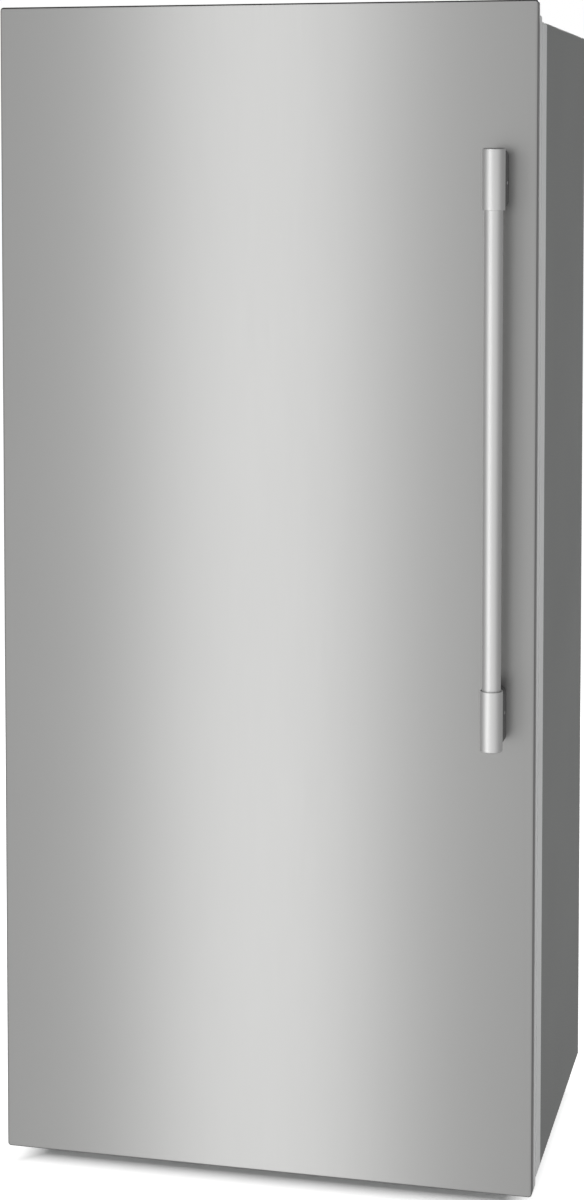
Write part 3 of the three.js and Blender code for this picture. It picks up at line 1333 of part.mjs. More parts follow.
// ---- assembly: fans and their motors ----
const evaporatorFanY = coverFront + COVER_SHEET + 6 + FAN_HALF;
const evaporatorFanAt = [0, evaporatorFanY, coilTop + FAN_DIAMETER / 2 + FAN_RISE];
const facingFront = [Math.PI / 2, 0, 0];
add("evaporator_fan", fan(), greyPlastic, evaporatorFanAt, facingFront);
const wallDistance = linerRear - GAP - evaporatorFanY;
add("evaporator_fan_motor", evaporatorMotor(wallDistance), zinc, evaporatorFanAt, facingFront);
const condenserFanZ = machineFloor + TRAY_HEIGHT + 8 + FAN_DIAMETER / 2;
const condenserFanAt = [condenserX + CONDENSER_FAN_SPACING, machineMiddle, condenserFanZ];
const facingCondenser = [0, -Math.PI / 2, 0];
add("condenser_fan", fan(), greyPlastic, condenserFanAt, facingCondenser);
const ceilingDistance = machineTop - GAP - condenserFanZ;
add("condenser_fan_motor", condenserMotor(ceilingDistance), zinc, condenserFanAt, facingCondenser);

// ---- assembly: moving pieces in the cabinet ----
const sides = { left: -1, right: 1 };
for (const [name, side] of Object.entries(sides)) {
  add(`levelling_leg_${name}`, levellingLeg(), zinc, [side * (cabinetHalf - LEG_INSET), LEG_SETBACK, 0]);
  const rollerAt = [side * (cabinetHalf - ROLLER_INSET), wrapperRear - ROLLER_REAR, ROLLER_DIAMETER / 2];
  add(`rear_roller_${name}`, roller(), greyPlastic, rollerAt);
}
buttonPlaces.forEach((x, i) => {
  add(`control_button_${i + 1}`, controlButton(), greyPlastic, [x, controlFront, controlZ]);
});
add("lamp_switch_plunger", lampPlunger(), whitePlastic, [PLUNGER_X, controlFront, controlZ]);
add("drawer_upper", drawer(UPPER_DRAWER), clearPlastic);
add("drawer_lower", drawer(LOWER_DRAWER), clearPlastic);

// ---- assembly: door ----
add("door_skin", doorSkin(), stainless);
add("door_frame", doorFrame(), silverPaint);
add("door_insulation", doorInsulation(), foam);
add("door_dike_foam", doorDikeFoam(), foam);
add("door_liner", doorLiner(), whitePlastic);
add("door_gasket", doorGasket(), rubber);
for (let i = 0; i < BIN_COUNT; i++) add(`door_bin_${i + 1}`, doorBin(binZ(i)), clearPlastic);
add("top_hinge_bush", hingeBush(true), whitePlastic, [hingeX, hingeY, doorBackTop + GAP]);
add("bottom_hinge_bush", hingeBush(false), whitePlastic, [hingeX, hingeY, doorBottom - GAP]);
add("handle_bar", handleBar(), stainless);
const sleeveTurns = { upper: [0, 0, 0], lower: [Math.PI, 0, 0] };
const sleeveStarts = {
  upper: handleTop - SLEEVE_LENGTH,
  lower: handleTop - HANDLE_LENGTH + SLEEVE_LENGTH,
};
const standoffCentres = {
  upper: handleTop - SLEEVE_LENGTH / 2,
  lower: handleTop - HANDLE_LENGTH + SLEEVE_LENGTH / 2,
};
for (const end of ["upper", "lower"]) {
  const start = [handleX, -HANDLE_REACH, sleeveStarts[end]];
  add(`handle_sleeve_${end}`, handleSleeve(), stainless, start, sleeveTurns[end]);
  add(`handle_standoff_${end}`, handleStandoff(standoffCentres[end]), blackPaint);
}

// The depth is centred between the handle's front and the machine cover's louvres.
const handleFront = -HANDLE_REACH - SLEEVE_DIAMETER / 2;
const rearmost = wrapperRear + GAP + PANEL_RISE;
freezer.position.y = -(handleFront + rearmost) / 2;

export default freezer;
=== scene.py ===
# Upright freezer: finishes, fine pieces, studio light and camera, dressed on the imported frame.
import json
import math

import bmesh
import bpy
import numpy as np
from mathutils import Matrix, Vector

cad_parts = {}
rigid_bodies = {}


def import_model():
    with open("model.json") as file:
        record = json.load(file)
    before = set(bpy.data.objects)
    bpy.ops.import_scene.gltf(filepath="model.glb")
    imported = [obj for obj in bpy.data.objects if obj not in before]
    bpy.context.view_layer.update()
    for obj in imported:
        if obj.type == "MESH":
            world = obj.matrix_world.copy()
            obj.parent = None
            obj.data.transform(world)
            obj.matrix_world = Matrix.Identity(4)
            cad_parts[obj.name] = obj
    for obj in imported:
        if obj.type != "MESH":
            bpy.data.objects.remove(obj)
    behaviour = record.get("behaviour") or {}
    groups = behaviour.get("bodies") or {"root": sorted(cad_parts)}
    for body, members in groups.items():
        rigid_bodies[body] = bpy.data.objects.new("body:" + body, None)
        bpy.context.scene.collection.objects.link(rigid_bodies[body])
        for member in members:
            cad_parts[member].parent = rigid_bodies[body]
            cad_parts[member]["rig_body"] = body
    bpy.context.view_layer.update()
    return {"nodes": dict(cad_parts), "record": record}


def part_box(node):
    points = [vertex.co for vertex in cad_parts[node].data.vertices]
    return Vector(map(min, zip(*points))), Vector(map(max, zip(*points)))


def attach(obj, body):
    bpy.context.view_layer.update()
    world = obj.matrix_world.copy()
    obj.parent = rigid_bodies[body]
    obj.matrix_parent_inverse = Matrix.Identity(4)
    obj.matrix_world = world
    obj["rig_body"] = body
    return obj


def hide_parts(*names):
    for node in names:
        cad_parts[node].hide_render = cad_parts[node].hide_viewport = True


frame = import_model()
bpy.context.view_layer.update()

mm = 0.001
doorLow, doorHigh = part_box("door_skin")
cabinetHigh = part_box("cabinet_wrapper")[1]
slotOf = {row["node"]: row["material_slot"] for row in frame["record"]["subparts"]}


class Wire:
    # one output socket; + - * between wires and numbers add Math nodes
    def __init__(self, wiring, socket):
        self.wiring, self.socket = wiring, socket

    def __add__(self, other):
        return self.wiring.math("ADD", self, other)

    def __sub__(self, other):
        return self.wiring.math("SUBTRACT", self, other)

    def __rsub__(self, other):
        return self.wiring.math("SUBTRACT", other, self)

    def __mul__(self, other):
        return self.wiring.math("MULTIPLY", self, other)

    __radd__, __rmul__ = __add__, __mul__


socketNames = {
    "color": "Base Color", "roughness": "Roughness", "metallic": "Metallic", "normal": "Normal",
    "ior": "IOR", "alpha": "Alpha", "glow": "Emission Color", "glowStrength": "Emission Strength",
}
noiseSpan = (0.3, 0.7)    # most of a noise's values lie between these


class Wiring:
    # the nodes of one material or world; node() is the one way in for every kind of node
    def __init__(self, holder):
        holder.use_nodes = True
        self.holder, self.tree = holder, holder.node_tree
        self.tree.nodes.clear()

    def node(self, kind, settings=None, inputs=None, output=0):
        made = self.tree.nodes.new("ShaderNode" + kind)
        for key, value in (settings or {}).items():
            setattr(made, key, value)
        for key, value in (inputs or {}).items():
            if isinstance(value, Wire):
                self.tree.links.new(value.socket, made.inputs[key])
            else:
                made.inputs[key].default_value = value
        return Wire(self, made.outputs[output]) if made.outputs else None

    def output(self, wire, name):
        # another output of the node that a wire comes from
        return Wire(self, wire.socket.node.outputs[name])

    def math(self, operation, first, second=0.0):
        return self.node("Math", {"operation": operation}, {0: first, 1: second})

    def place(self, scale=(1, 1, 1)):
        # Object coordinates in metres, stretched per axis
        coords = self.node("TexCoord", output="Object")
        return self.node("Mapping", inputs={"Vector": coords, "Scale": scale})

    def noise(self, where, scale, detail=2.0, rough=0.5):
        return self.node("TexNoise", inputs={
            "Vector": where, "Scale": scale, "Detail": detail, "Roughness": rough,
        })

    def tint(self, amount, first, second):
        # a colour between two colours; inputs 6 and 7 and output 2 are the Mix node's colour sockets
        return self.node("Mix", {"data_type": "RGBA"}, {
            "Factor": amount, 6: (*first, 1), 7: (*second, 1),
        }, output=2)

    def spread(self, value, low, high, toLow=0.0, toHigh=1.0, curve="LINEAR"):
        # a value moved from one range to another, held at both ends
        return self.node("MapRange", {"interpolation_type": curve}, {
            "Value": value, "From Min": low, "From Max": high, "To Min": toLow, "To Max": toHigh,
        })

    def uneven(self, pattern, value, swing):
        # a value that drifts both ways by the swing as the pattern rises and falls
        return self.spread(pattern, *noiseSpan, value - swing, value + swing)

    def bump(self, height, strength, distance):
        return self.node("Bump", inputs={"Height": height, "Strength": strength, "Distance": distance})

    def done(self, **sockets):
        named = {socketNames[key]: value for key, value in sockets.items()}
        shader = self.node("BsdfPrincipled", inputs=named, output="BSDF")
        self.node("OutputMaterial", inputs={"Surface": shader})
        return self.holder


def newFinish(name):
    return Wiring(bpy.data.materials.new(name))


def deeper(shade, share):
    # a shade darkened to this share of itself
    return tuple(value * share for value in shade)


# scratches: how fine the noise is across the sheet in x and y, and how long it runs in z
doorSteel = dict(
    shade=(0.425, 0.425, 0.42), roughness=0.30, grain=0.02, relief=0.03, scratches=(1400, 1400, 7),
)
gripSteel = dict(
    shade=(0.88, 0.88, 0.875), roughness=0.52, grain=0.03, relief=0.03, scratches=(900, 900, 12),
)


def brushedSteel(name, look):
    # long fine scratches along Z, a slow drift in tone
    f = newFinish(name)
    grain = f.noise(f.place(look["scratches"]), scale=1.0, detail=3.0, rough=0.65)
    clouds = f.noise(f.place(), scale=2.2)
    worn = f.spread(clouds + grain * 0.3, 0.45, 0.85)
    return f.done(
        color=f.tint(worn, look["shade"], deeper(look["shade"], 0.985)), metallic=1.0,
        roughness=f.uneven(grain, look["roughness"], look["grain"]),
        normal=f.bump(grain, look["relief"], distance=0.04 * mm),
    )


def paint(name, shade, roughness, texture, metallic=0.0, grit=700):
    # sprayed paint: a fine orange peel, slightly uneven in gloss and tone
    f = newFinish(name)
    peel = f.noise(f.place(), scale=grit, rough=0.55)
    clouds = f.noise(f.place(), scale=3.0)
    worn = f.spread(clouds + peel * 0.4, 0.45, 0.95)
    return f.done(
        color=f.tint(worn, shade, deeper(shade, 0.9)), metallic=metallic,
        roughness=f.uneven(peel, roughness, 0.05), normal=f.bump(peel, texture, distance=0.12 * mm),
    )


def zincPlate(name):
    # galvanised sheet: spangle in faint cells
    f = newFinish(name)
    cells = f.node("TexVoronoi", {"feature": "F1"}, {"Vector": f.place(), "Scale": 130.0}, output="Color")
    grey = f.node("RGBToBW", inputs={"Color": cells})
    clouds = f.noise(f.place(), scale=24.0, detail=3.0)
    spangle = f.spread(grey * 0.6 + clouds * 0.4, 0.2, 0.8)
    return f.done(
        color=f.tint(spangle, (0.44, 0.45, 0.46), (0.58, 0.59, 0.60)), metallic=0.7,
        roughness=f.spread(grey, 0.2, 0.8, 0.34, 0.48), normal=f.bump(clouds, 0.08, distance=0.2 * mm),
    )


def moulded(name, shade, roughness):
    # injection moulded plastic with a fine spark texture
    f = newFinish(name)
    spark = f.noise(f.place(), scale=1500.0, detail=1.0)
    flow = f.noise(f.place((1, 1, 2)), scale=5.0)
    return f.done(
        color=f.tint(f.spread(flow, 0.35, 0.65), shade, deeper(shade, 0.94)),
        roughness=f.uneven(spark, roughness, 0.04), normal=f.bump(spark, 0.1, distance=0.06 * mm),
    )


def clearPart(name, shade, alpha, roughness, ior):
    # a see-through sheet whose rims read denser, since light runs along them
    f = newFinish(name)
    haze = f.noise(f.place(), scale=9.0)
    rim = f.node("LayerWeight", inputs={"Blend": 0.35}, output="Facing")
    return f.done(
        color=(*shade, 1), alpha=f.spread(rim + haze * 0.06, 0.03, 0.9, alpha, min(alpha + 0.5, 1)),
        roughness=f.spread(haze, *noiseSpan, roughness, roughness + 0.05), ior=ior,
    )


lens = dict(ribPitch=5.0, ribRelief=0.5, glow=(1.0, 0.96, 0.9, 1), glowStrength=0.25)


def ribbedLens(name):
    # milky lens with fine ribs across it: height follows a sine along X
    f = newFinish(name)
    across = f.node("SeparateXYZ", inputs={"Vector": f.place()})
    ribs = f.math("SINE", across * (2 * math.pi / (lens["ribPitch"] * mm)))
    haze = f.noise(f.place(), scale=30.0)
    return f.done(
        color=f.tint(haze, (0.86, 0.87, 0.86), (0.80, 0.81, 0.80)), roughness=f.uneven(haze, 0.2, 0.04),
        normal=f.bump(ribs, lens["ribRelief"], distance=0.8 * mm),
        glow=lens["glow"], glowStrength=lens["glowStrength"],
    )


def gasketRubber(name):
    # matt grey rubber, paler where dust lies
    f = newFinish(name)
    dust = f.noise(f.place(), scale=60.0, detail=3.0)
    return f.done(
        color=f.tint(f.spread(dust, 0.35, 0.7), (0.23, 0.235, 0.24), (0.29, 0.295, 0.30)),
        roughness=f.spread(dust, *noiseSpan, 0.55, 0.72), normal=f.bump(dust, 0.1, distance=0.2 * mm),
    )


def rigidFoam(name):
    # poured foam: fine open cells
    f = newFinish(name)
    cells = f.noise(f.place(), scale=900.0, detail=3.0)
    return f.done(
        color=f.tint(cells, (0.80, 0.70, 0.40), (0.70, 0.60, 0.32)), roughness=0.9,
        normal=f.bump(cells, 0.4, distance=0.4 * mm),
    )


finishes = {
    "stainless": brushedSteel("brushedDoorSteel", doorSteel),
    "silver_paint": paint("silverPaint", (0.74, 0.745, 0.745), roughness=0.42, texture=0.12, metallic=0.2),
    "dark_paint": paint("darkTexturedPaint", (0.198, 0.203, 0.20), roughness=0.5, texture=0.4, grit=420),
    "zinc": zincPlate("galvanisedSheet"),
    "black_paint": paint("blackPaint", (0.016, 0.016, 0.017), roughness=0.36, texture=0.2),
    "white_plastic": moulded("whiteMoulding", (0.80, 0.81, 0.81), roughness=0.34),
    "grey_plastic": moulded("greyMoulding", (0.15, 0.155, 0.16), roughness=0.42),
    "clear_plastic": clearPart("clearTub", (0.80, 0.87, 0.90), alpha=0.24, roughness=0.12, ior=1.5),
    "rubber": gasketRubber("gasketRubber"),
    "foam": rigidFoam("insulationFoam"),
    "glass": clearPart("shelfGlass", (0.66, 0.83, 0.79), alpha=0.16, roughness=0.03, ior=1.52),
    "aluminium": paint(
        "millAluminium", (0.66, 0.67, 0.68), roughness=0.3, texture=0.15, metallic=1.0, grit=240,
    ),
}
lampLens = ribbedLens("lampLens")
print("finishes:", len(finishes) + 1)


def gridQuads(rows, columns, closeRows=False, closeColumns=False):
    # quads between neighbouring rows and columns of a grid of points, wrapped where it closes
    r = np.arange(rows if closeRows else rows - 1)[:, None]
    c = np.arange(columns if closeColumns else columns - 1)[None, :]
    rNext, cNext = (r + 1) % rows, (c + 1) % columns
    quads = [r * columns + c, r * columns + cNext, rNext * columns + cNext, rNext * columns + c]
    return np.stack(np.broadcast_arrays(*quads), -1).reshape(-1, 4)


# merge is a distance in metres, flatAngle and crease are in degrees
softening = dict(merge=2e-6, flatAngle=0.6, crease=28, segments=2, weight=80)


def finishMesh(name, mesh, body, finish, replaces=(), crease=35, rounding=0.0):
    # doubles merged, faces turned out, smooth up to the crease angle, edges rounded by a bevel
    work = bmesh.new()
    work.from_mesh(mesh)
    bmesh.ops.remove_doubles(work, verts=work.verts, dist=softening["merge"])
    bmesh.ops.recalc_face_normals(work, faces=work.faces)
    for face in work.faces:
        face.smooth = True
    for edge in work.edges:
        edge.smooth = not edge.is_manifold or edge.calc_face_angle(0.0) < math.radians(crease)
    work.to_mesh(mesh)
    work.free()
    piece = bpy.data.objects.new(name, mesh)
    bpy.context.scene.collection.objects.link(piece)
    mesh.materials.append(finish)
    if rounding:
        bevel = piece.modifiers.new("rounding", "BEVEL")
        bevel.width, bevel.segments, bevel.limit_method = rounding, softening["segments"], "ANGLE"
        bevel.angle_limit = math.radians(crease)
        bevel.use_clamp_overlap = True
        # large flat faces keep their own normal
        weighted = piece.modifiers.new("evenShading", "WEIGHTED_NORMAL")
        weighted.mode, weighted.keep_sharp, weighted.weight = "FACE_AREA", True, softening["weight"]
    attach(piece, body)
    if replaces:
        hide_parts(*replaces)


def fromGrids(name, grids, body, slotName, finish=None, replaces=(), crease=35):
    # grids: (points of shape rows x columns x 3, close rows, close columns, cap the end rows)
    points, faces, start = [], [], 0
    for grid, closeRows, closeColumns, capped in grids:
        rows, columns = grid.shape[:2]
        points.append(grid.reshape(-1, 3))
        faces += (gridQuads(rows, columns, closeRows, closeColumns) + start).tolist()
        if capped:
            faces.append(list(range(start, start + columns)))
            faces.append(list(range(start + (rows - 1) * columns, start + rows * columns)))
        start += rows * columns
    mesh = bpy.data.meshes.new(name)
    mesh.from_pydata(np.concatenate(points).tolist(), [], faces)
    mesh.validate()
    finishMesh(name, mesh, body, finish or finishes[slotName], replaces, crease)


def softened(node, rounding, finish=None):
    # a merged copy of a solid whose shape is right, flat faces made whole and edges rounded
    source, slotName = frame["nodes"][node], slotOf[node]
    mesh = source.data.copy()
    mesh.materials.clear()
    work = bmesh.new()
    work.from_mesh(mesh)
    bmesh.ops.remove_doubles(work, verts=work.verts, dist=softening["merge"])
    flat = math.radians(softening["flatAngle"])
    bmesh.ops.dissolve_limit(work, angle_limit=flat, verts=work.verts, edges=work.edges)
    work.to_mesh(mesh)
    work.free()
    finishMesh(
        node + "_finished", mesh, source["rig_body"], finish or finishes[slotName],
        (node,), softening["crease"], rounding * mm,
    )


def outlineRing(halfX, lowZ, highZ, radius, perCorner=10):
    # a rounded rectangle in x and z as one closed run of points, four quarter circles
    turn = np.linspace(0, math.pi / 2, perCorner + 1)
    quarter = np.stack([np.cos(turn), np.sin(turn)], -1) * radius
    corners = []
    for step, (cx, cz) in enumerate([
        (halfX - radius, highZ - radius), (-halfX + radius, highZ - radius),
        (-halfX + radius, lowZ + radius), (halfX - radius, lowZ + radius),
    ]):
        c, s = math.cos(step * math.pi / 2), math.sin(step * math.pi / 2)
        corners.append(quarter @ np.array([[c, s], [-s, c]]) + [cx, cz])
    return np.concatenate(corners)


def revolved(profile, centre, axis="z", around=64):
    # radius and distance along the axis, turned all the way round it
    radius, along = np.array(profile, float).T
    angle = np.linspace(0, 2 * math.pi, around, endpoint=False)
    a = radius[:, None] * np.cos(angle)
    b = radius[:, None] * np.sin(angle)
    c = np.broadcast_to(along[:, None], a.shape)
    order = {"y": (a, c, b), "z": (a, b, c)}[axis]
    return np.stack(order, -1) + np.array(centre)


def arcPoints(centre, radius, fromAngle, toAngle, count):
    # points on an arc in profile space, angles in degrees
    angle = np.radians(np.linspace(fromAngle, toAngle, count))
    return [(centre[0] + radius * math.cos(a), centre[1] + radius * math.sin(a)) for a in angle]


def sixSided(angle, apothem):
    # a hexagon's radius at each angle: the distance to its flats over the cosine from the nearest one
    sixth = math.pi / 3
    return apothem / np.cos((angle + sixth / 2) % sixth - sixth / 2)


doorPan = dict(
    edgeRadius=3.0, cornerRadius=5.0, leastCorner=0.5, depth=18.0, sheet=1.2, faceBorder=1.4,
    hem=12.0, topHem=33.0, hemCorner=4.0, backEase=0.6,
)


def doorSkin():
    # rounded rectangles stacked along a pan's section: face, rolled edge, side, hem and back again inside
    front, half = doorLow.y, doorHigh.x
    r, t, depth = doorPan["edgeRadius"], doorPan["sheet"], doorPan["depth"]
    inner, hem, ease = r - t, doorPan["hem"], doorPan["backEase"]
    bend = np.radians(np.linspace(90, 0, 9))
    # each row: inset from the outline, depth behind the face, and whether it lies at the hem
    section = [(r + doorPan["faceBorder"], 0.0, False)]
    section += [(r - r * math.cos(a), r - r * math.sin(a), False) for a in bend]
    section += [(0.0, depth - ease, False), (ease, depth, False), (hem, depth, True)]
    section += [(hem, depth - t, True), (t, depth - t, False)]
    section += [
        (t + inner - inner * math.cos(a), t + inner - inner * math.sin(a), False) for a in bend[::-1]
    ]
    section += [(t + inner + doorPan["faceBorder"], t, False)]
    rings = []
    for inset, back, atHem in section:
        high = doorHigh.z - (doorPan["topHem"] if atHem else inset) * mm
        corner = max(doorPan["cornerRadius"] - inset, doorPan["leastCorner"])
        corner = doorPan["hemCorner"] if atHem else corner
        ring = outlineRing(half - inset * mm, doorLow.z + inset * mm, high, corner * mm)
        rings.append(np.insert(ring, 1, front + back * mm, axis=1))
    fromGrids(
        "doorFace", [(np.array(rings), False, True, True)], "door", "stainless",
        replaces=("door_skin",), crease=50,
    )


doorSkin()
print("door skin done")

grip = dict(
    barRadius=14.0, barChamfer=1.0, sleeveRadius=17.1, sleeveRound=2.6, roundFrom=262, flatInset=4.2,
    bore=15.2, rim=1.3, closedEnd=8.0, leadWidth=0.3, leadDepth=0.5,
)
post = dict(
    cornerRadius=11.0, footEase=0.8, footShare=0.02, sleeveGap=0.3,
    screwRadius=2.6, screwHeight=0.6, screwFromEnd=49.0, screwFromFront=26.0,
)
barLow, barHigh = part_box("handle_bar")
barX, barY = (barLow.x + barHigh.x) / 2, (barLow.y + barHigh.y) / 2
handleSteel = brushedSteel("handleSteel", gripSteel)


def handleBar():
    # a cylinder turned about the bar's axis, chamfered at both ends
    r, chamfer = grip["barRadius"] * mm, grip["barChamfer"] * mm
    low, high = barLow.z, barHigh.z
    profile = [(0, low), (r - chamfer, low), (r, low + chamfer)]
    profile += [(r, high - chamfer), (r - chamfer, high), (0, high)]
    fromGrids(
        "gripBar", [(revolved(profile, (barX, barY, 0)), False, True, False)], "door", "stainless",
        handleSteel, ("handle_bar",),
    )


def handleSleeve(node, opensUp):
    # a cup turned about the bar: rounded closed end, crisp rim, bore with a lead-in chamfer
    low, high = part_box(node)
    closed, mouth = (low.z, high.z) if opensUp else (high.z, low.z)
    towards = 1 if opensUp else -1
    r, bore, rim, rounded = grip["sleeveRadius"], grip["bore"], grip["rim"], grip["sleeveRound"]
    length, end = abs(mouth - closed) / mm, grip["closedEnd"]
    profile = [(0.0, 0.0), (r - grip["flatInset"], 0.0)]
    profile += arcPoints((r - rounded, rounded), rounded, grip["roundFrom"], 360, 9)
    profile += [(r, length - rim)] + arcPoints((r - rim / 2, length - rim / 2), rim / 2, 0, 90, 4)
    profile += [(bore + grip["leadWidth"], length), (bore, length - grip["leadDepth"])]
    profile += [(bore, end), (0.0, end)]
    placed = [(radius * mm, closed + towards * along * mm) for radius, along in profile]
    fromGrids(
        node + "_turned", [(revolved(placed, (barX, barY, 0), around=72), False, True, False)], "door",
        "stainless", handleSteel, (node,), crease=40,
    )


def handleStandoff(node):
    # an obround post drawn from the door's face to the sleeve; its far end lies on the sleeve's circle,
    # at the root of the radius squared less x squared
    low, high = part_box(node)
    half, radius = (high.x - low.x) / 2, post["cornerRadius"] * mm
    seat = (grip["sleeveRadius"] + post["sleeveGap"]) * mm
    rings = []
    for inset, share in [(post["footEase"], 0.0), (0.0, post["footShare"]), (0.0, 0.5), (0.0, 1.0)]:
        ring = outlineRing(half - inset * mm, low.z + inset * mm, high.z - inset * mm, radius - inset * mm)
        near = np.full(len(ring), high.y)
        far = barY + np.sqrt(np.maximum(seat ** 2 - ring[:, 0] ** 2, 0))
        rings.append(np.stack([ring[:, 0] + barX, near + (far - near) * share, ring[:, 1]], -1))
    # the black paint is painted shade: it stands in for the shadow and dark reflections that darken the
    # posts
    fromGrids(
        node + "_post", [(np.array(rings), False, True, True)], "door", "black_paint",
        replaces=(node,), crease=40,
    )


# section: shares of a head's height and of its radius there; the rest are shares too, apart from the power
heads = dict(
    section=[(0, 1), (0.35, 1), (0.75, 0.92), (1, 0.72)], recessFloor=0.2, recessTaper=0.8,
    lobeRoot=0.2, lobeReach=0.36, lobePower=5, hexagonCorner=0.55,
)


def screwHeads(name, spots, axis, towards, radius, height, body, slotName="zinc", drive="cross"):
    # heads turned about their axis, a low dome round a hexagon or a four-lobed recess, whose radius
    # follows a power of the cosine of twice the angle
    around = 24
    angle = np.linspace(0, 2 * math.pi, around, endpoint=False)
    r, h = radius * mm, height * mm
    lobes = heads["lobeRoot"] + heads["lobeReach"] * np.abs(np.cos(2 * angle)) ** heads["lobePower"]
    hexagon = sixSided(angle, heads["hexagonCorner"] * math.cos(math.pi / 6))
    recess = r * (hexagon if drive == "hexagon" else lobes)
    rings = [(share * h, np.full(around, size * r)) for share, size in heads["section"]]
    rings += [(h, recess), (heads["recessFloor"] * h, recess * heads["recessTaper"])]
    head = np.array([
        np.stack([size * np.cos(angle), size * np.sin(angle), np.full(around, reach * towards)], -1)
        for reach, size in rings
    ])
    turned = {"x": head[..., [2, 0, 1]], "y": head[..., [0, 2, 1]], "z": head}[axis]
    grids = [(turned + np.array(spot), False, True, True) for spot in spots]
    fromGrids(name, grids, body, slotName, crease=25)


def handleSetScrew(which):
    # in the stand-off's side, at the same distance from its outer end above and below
    low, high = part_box("handle_standoff_" + which)
    fromEnd = post["screwFromEnd"] * mm
    z = high.z - fromEnd if which == "upper" else low.z + fromEnd
    screwHeads(
        "handleSetScrew_" + which, [(high.x, low.y + post["screwFromFront"] * mm, z)], "x", 1,
        post["screwRadius"], post["screwHeight"], "door", drive="hexagon",
    )


handleBar()
for which, opensUp in [("lower", True), ("upper", False)]:
    handleSleeve("handle_sleeve_" + which, opensUp)
    handleStandoff("handle_standoff_" + which)
    handleSetScrew(which)
print("handle done")

seal = dict(width=26.0, cornerRadius=35.0)


def doorSeal():
    # a bellows section, mirrored about its middle, carried round the door's outline
    low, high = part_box("door_gasket")
    # inset from the outline and depth from the door: the foot, one fold, and half the grooved face
    side = [
        (2.8, 0.0), (0.7, 0.2), (0.0, 0.9), (0.2, 1.8), (1.6, 2.4), (2.6, 2.7), (2.2, 3.0), (1.1, 3.5),
        (0.8, 4.3), (1.2, 5.0), (2.4, 5.4), (5.0, 5.2), (5.6, 4.7), (6.2, 5.2), (8.0, 5.4),
    ]
    section = side + [(seal["width"] - inset, depth) for inset, depth in side[::-1]]
    rings = []
    for inset, depth in section:
        corner = (seal["cornerRadius"] - inset) * mm
        ring = outlineRing(high.x - inset * mm, low.z + inset * mm, high.z - inset * mm, corner)
        rings.append(np.insert(ring, 1, low.y + depth * mm, axis=1))
    fromGrids(
        "bellowsSeal", [(np.array(rings), True, True, False)], "door", "rubber",
        replaces=("door_gasket",), crease=60,
    )


doorSeal()
print("seal done")

leg = dict(
    padRadius=20.0, padHeight=5.0, soleInset=2.5, soleRound=1.6, shoulderRound=2.0,
    hubRadius=10.5, hubFoot=1.2, hubTopRadius=9.0, hubTop=2.6,
    hexagonAcross=19.0, hexagonFoot=1.5, hexagonTop=14.0, hexagonEase=0.8, cornersPastFlats=0.2,
    studRadius=5.0, studSunk=0.5, pitch=1.5, threadDepth=0.55, leadIn=1.2, stepsPerTurn=6,
)


def levellingLeg(node):
    # a turned pad, a hexagon for the spanner and a stud: the thread's depth follows the cosine of
    # height over pitch less the angle's share of a turn, so that it climbs one pitch a turn
    low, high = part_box(node)
    centre = ((low.x + high.x) / 2, (low.y + high.y) / 2, low.z)
    pad, t, sole, shoulder = leg["padRadius"], leg["padHeight"], leg["soleRound"], leg["shoulderRound"]
    padProfile = [(0, 0), (pad - leg["soleInset"], 0)]
    padProfile += arcPoints((pad - sole, sole), sole, 270, 360, 5)
    padProfile += arcPoints((pad - shoulder, t - shoulder), shoulder, 0, 80, 5)
    padProfile += [(leg["hubRadius"], t + leg["hubFoot"]), (leg["hubTopRadius"], t + leg["hubTop"])]
    padProfile += [(0, t + leg["hubTop"])]

    around, apothem, hexagonTop = 48, leg["hexagonAcross"] / 2, leg["hexagonTop"]
    angle = np.linspace(0, 2 * math.pi, around, endpoint=False)
    flats = sixSided(angle, apothem)
    collar = [(t + leg["hexagonFoot"], flats), (hexagonTop - leg["hexagonEase"], flats)]
    collar += [(hexagonTop, np.minimum(flats, apothem + leg["cornersPastFlats"]))]

    bottom, top = hexagonTop - leg["studSunk"], (high.z - low.z) / mm
    heights = np.linspace(bottom, top, int((top - bottom) / leg["pitch"] * leg["stepsPerTurn"]))
    phase = heights[:, None] / leg["pitch"] - angle[None, :] / (2 * math.pi)
    depth = leg["threadDepth"] * (0.5 + 0.5 * np.cos(2 * math.pi * phase))
    depth = depth + np.clip(heights - top + leg["leadIn"], 0, leg["leadIn"])[:, None]
    stud = list(zip(heights, leg["studRadius"] - depth))

    def stacked(rows):
        return np.array([
            np.stack([r * np.cos(angle), r * np.sin(angle), np.full(around, z)], -1) * mm + np.array(centre)
            for z, r in rows
        ])

    turned = revolved([(r * mm, z * mm) for r, z in padProfile], centre, around=around)
    grids = [(turned, False, True, False)]
    grids += [(stacked(rows), False, True, True) for rows in (collar, stud)]
    body = frame["nodes"][node]["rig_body"]
    fromGrids(node + "_threaded", grids, body, "zinc", replaces=(node,), crease=40)


for side in ["left", "right"]:
    levellingLeg("levelling_leg_" + side)
print("legs done")


def evenly(first, last, count):
    # equally spaced places, both ends included
    return np.linspace(first, last, count).tolist()


rearScrews = dict(
    radius=4.2, height=2.2, sheet=1.2, inset=12.0, lowest=60.0, upEachSide=7, acrossTop=5,
    coverInset=9.6, coverReach=140.0,
)


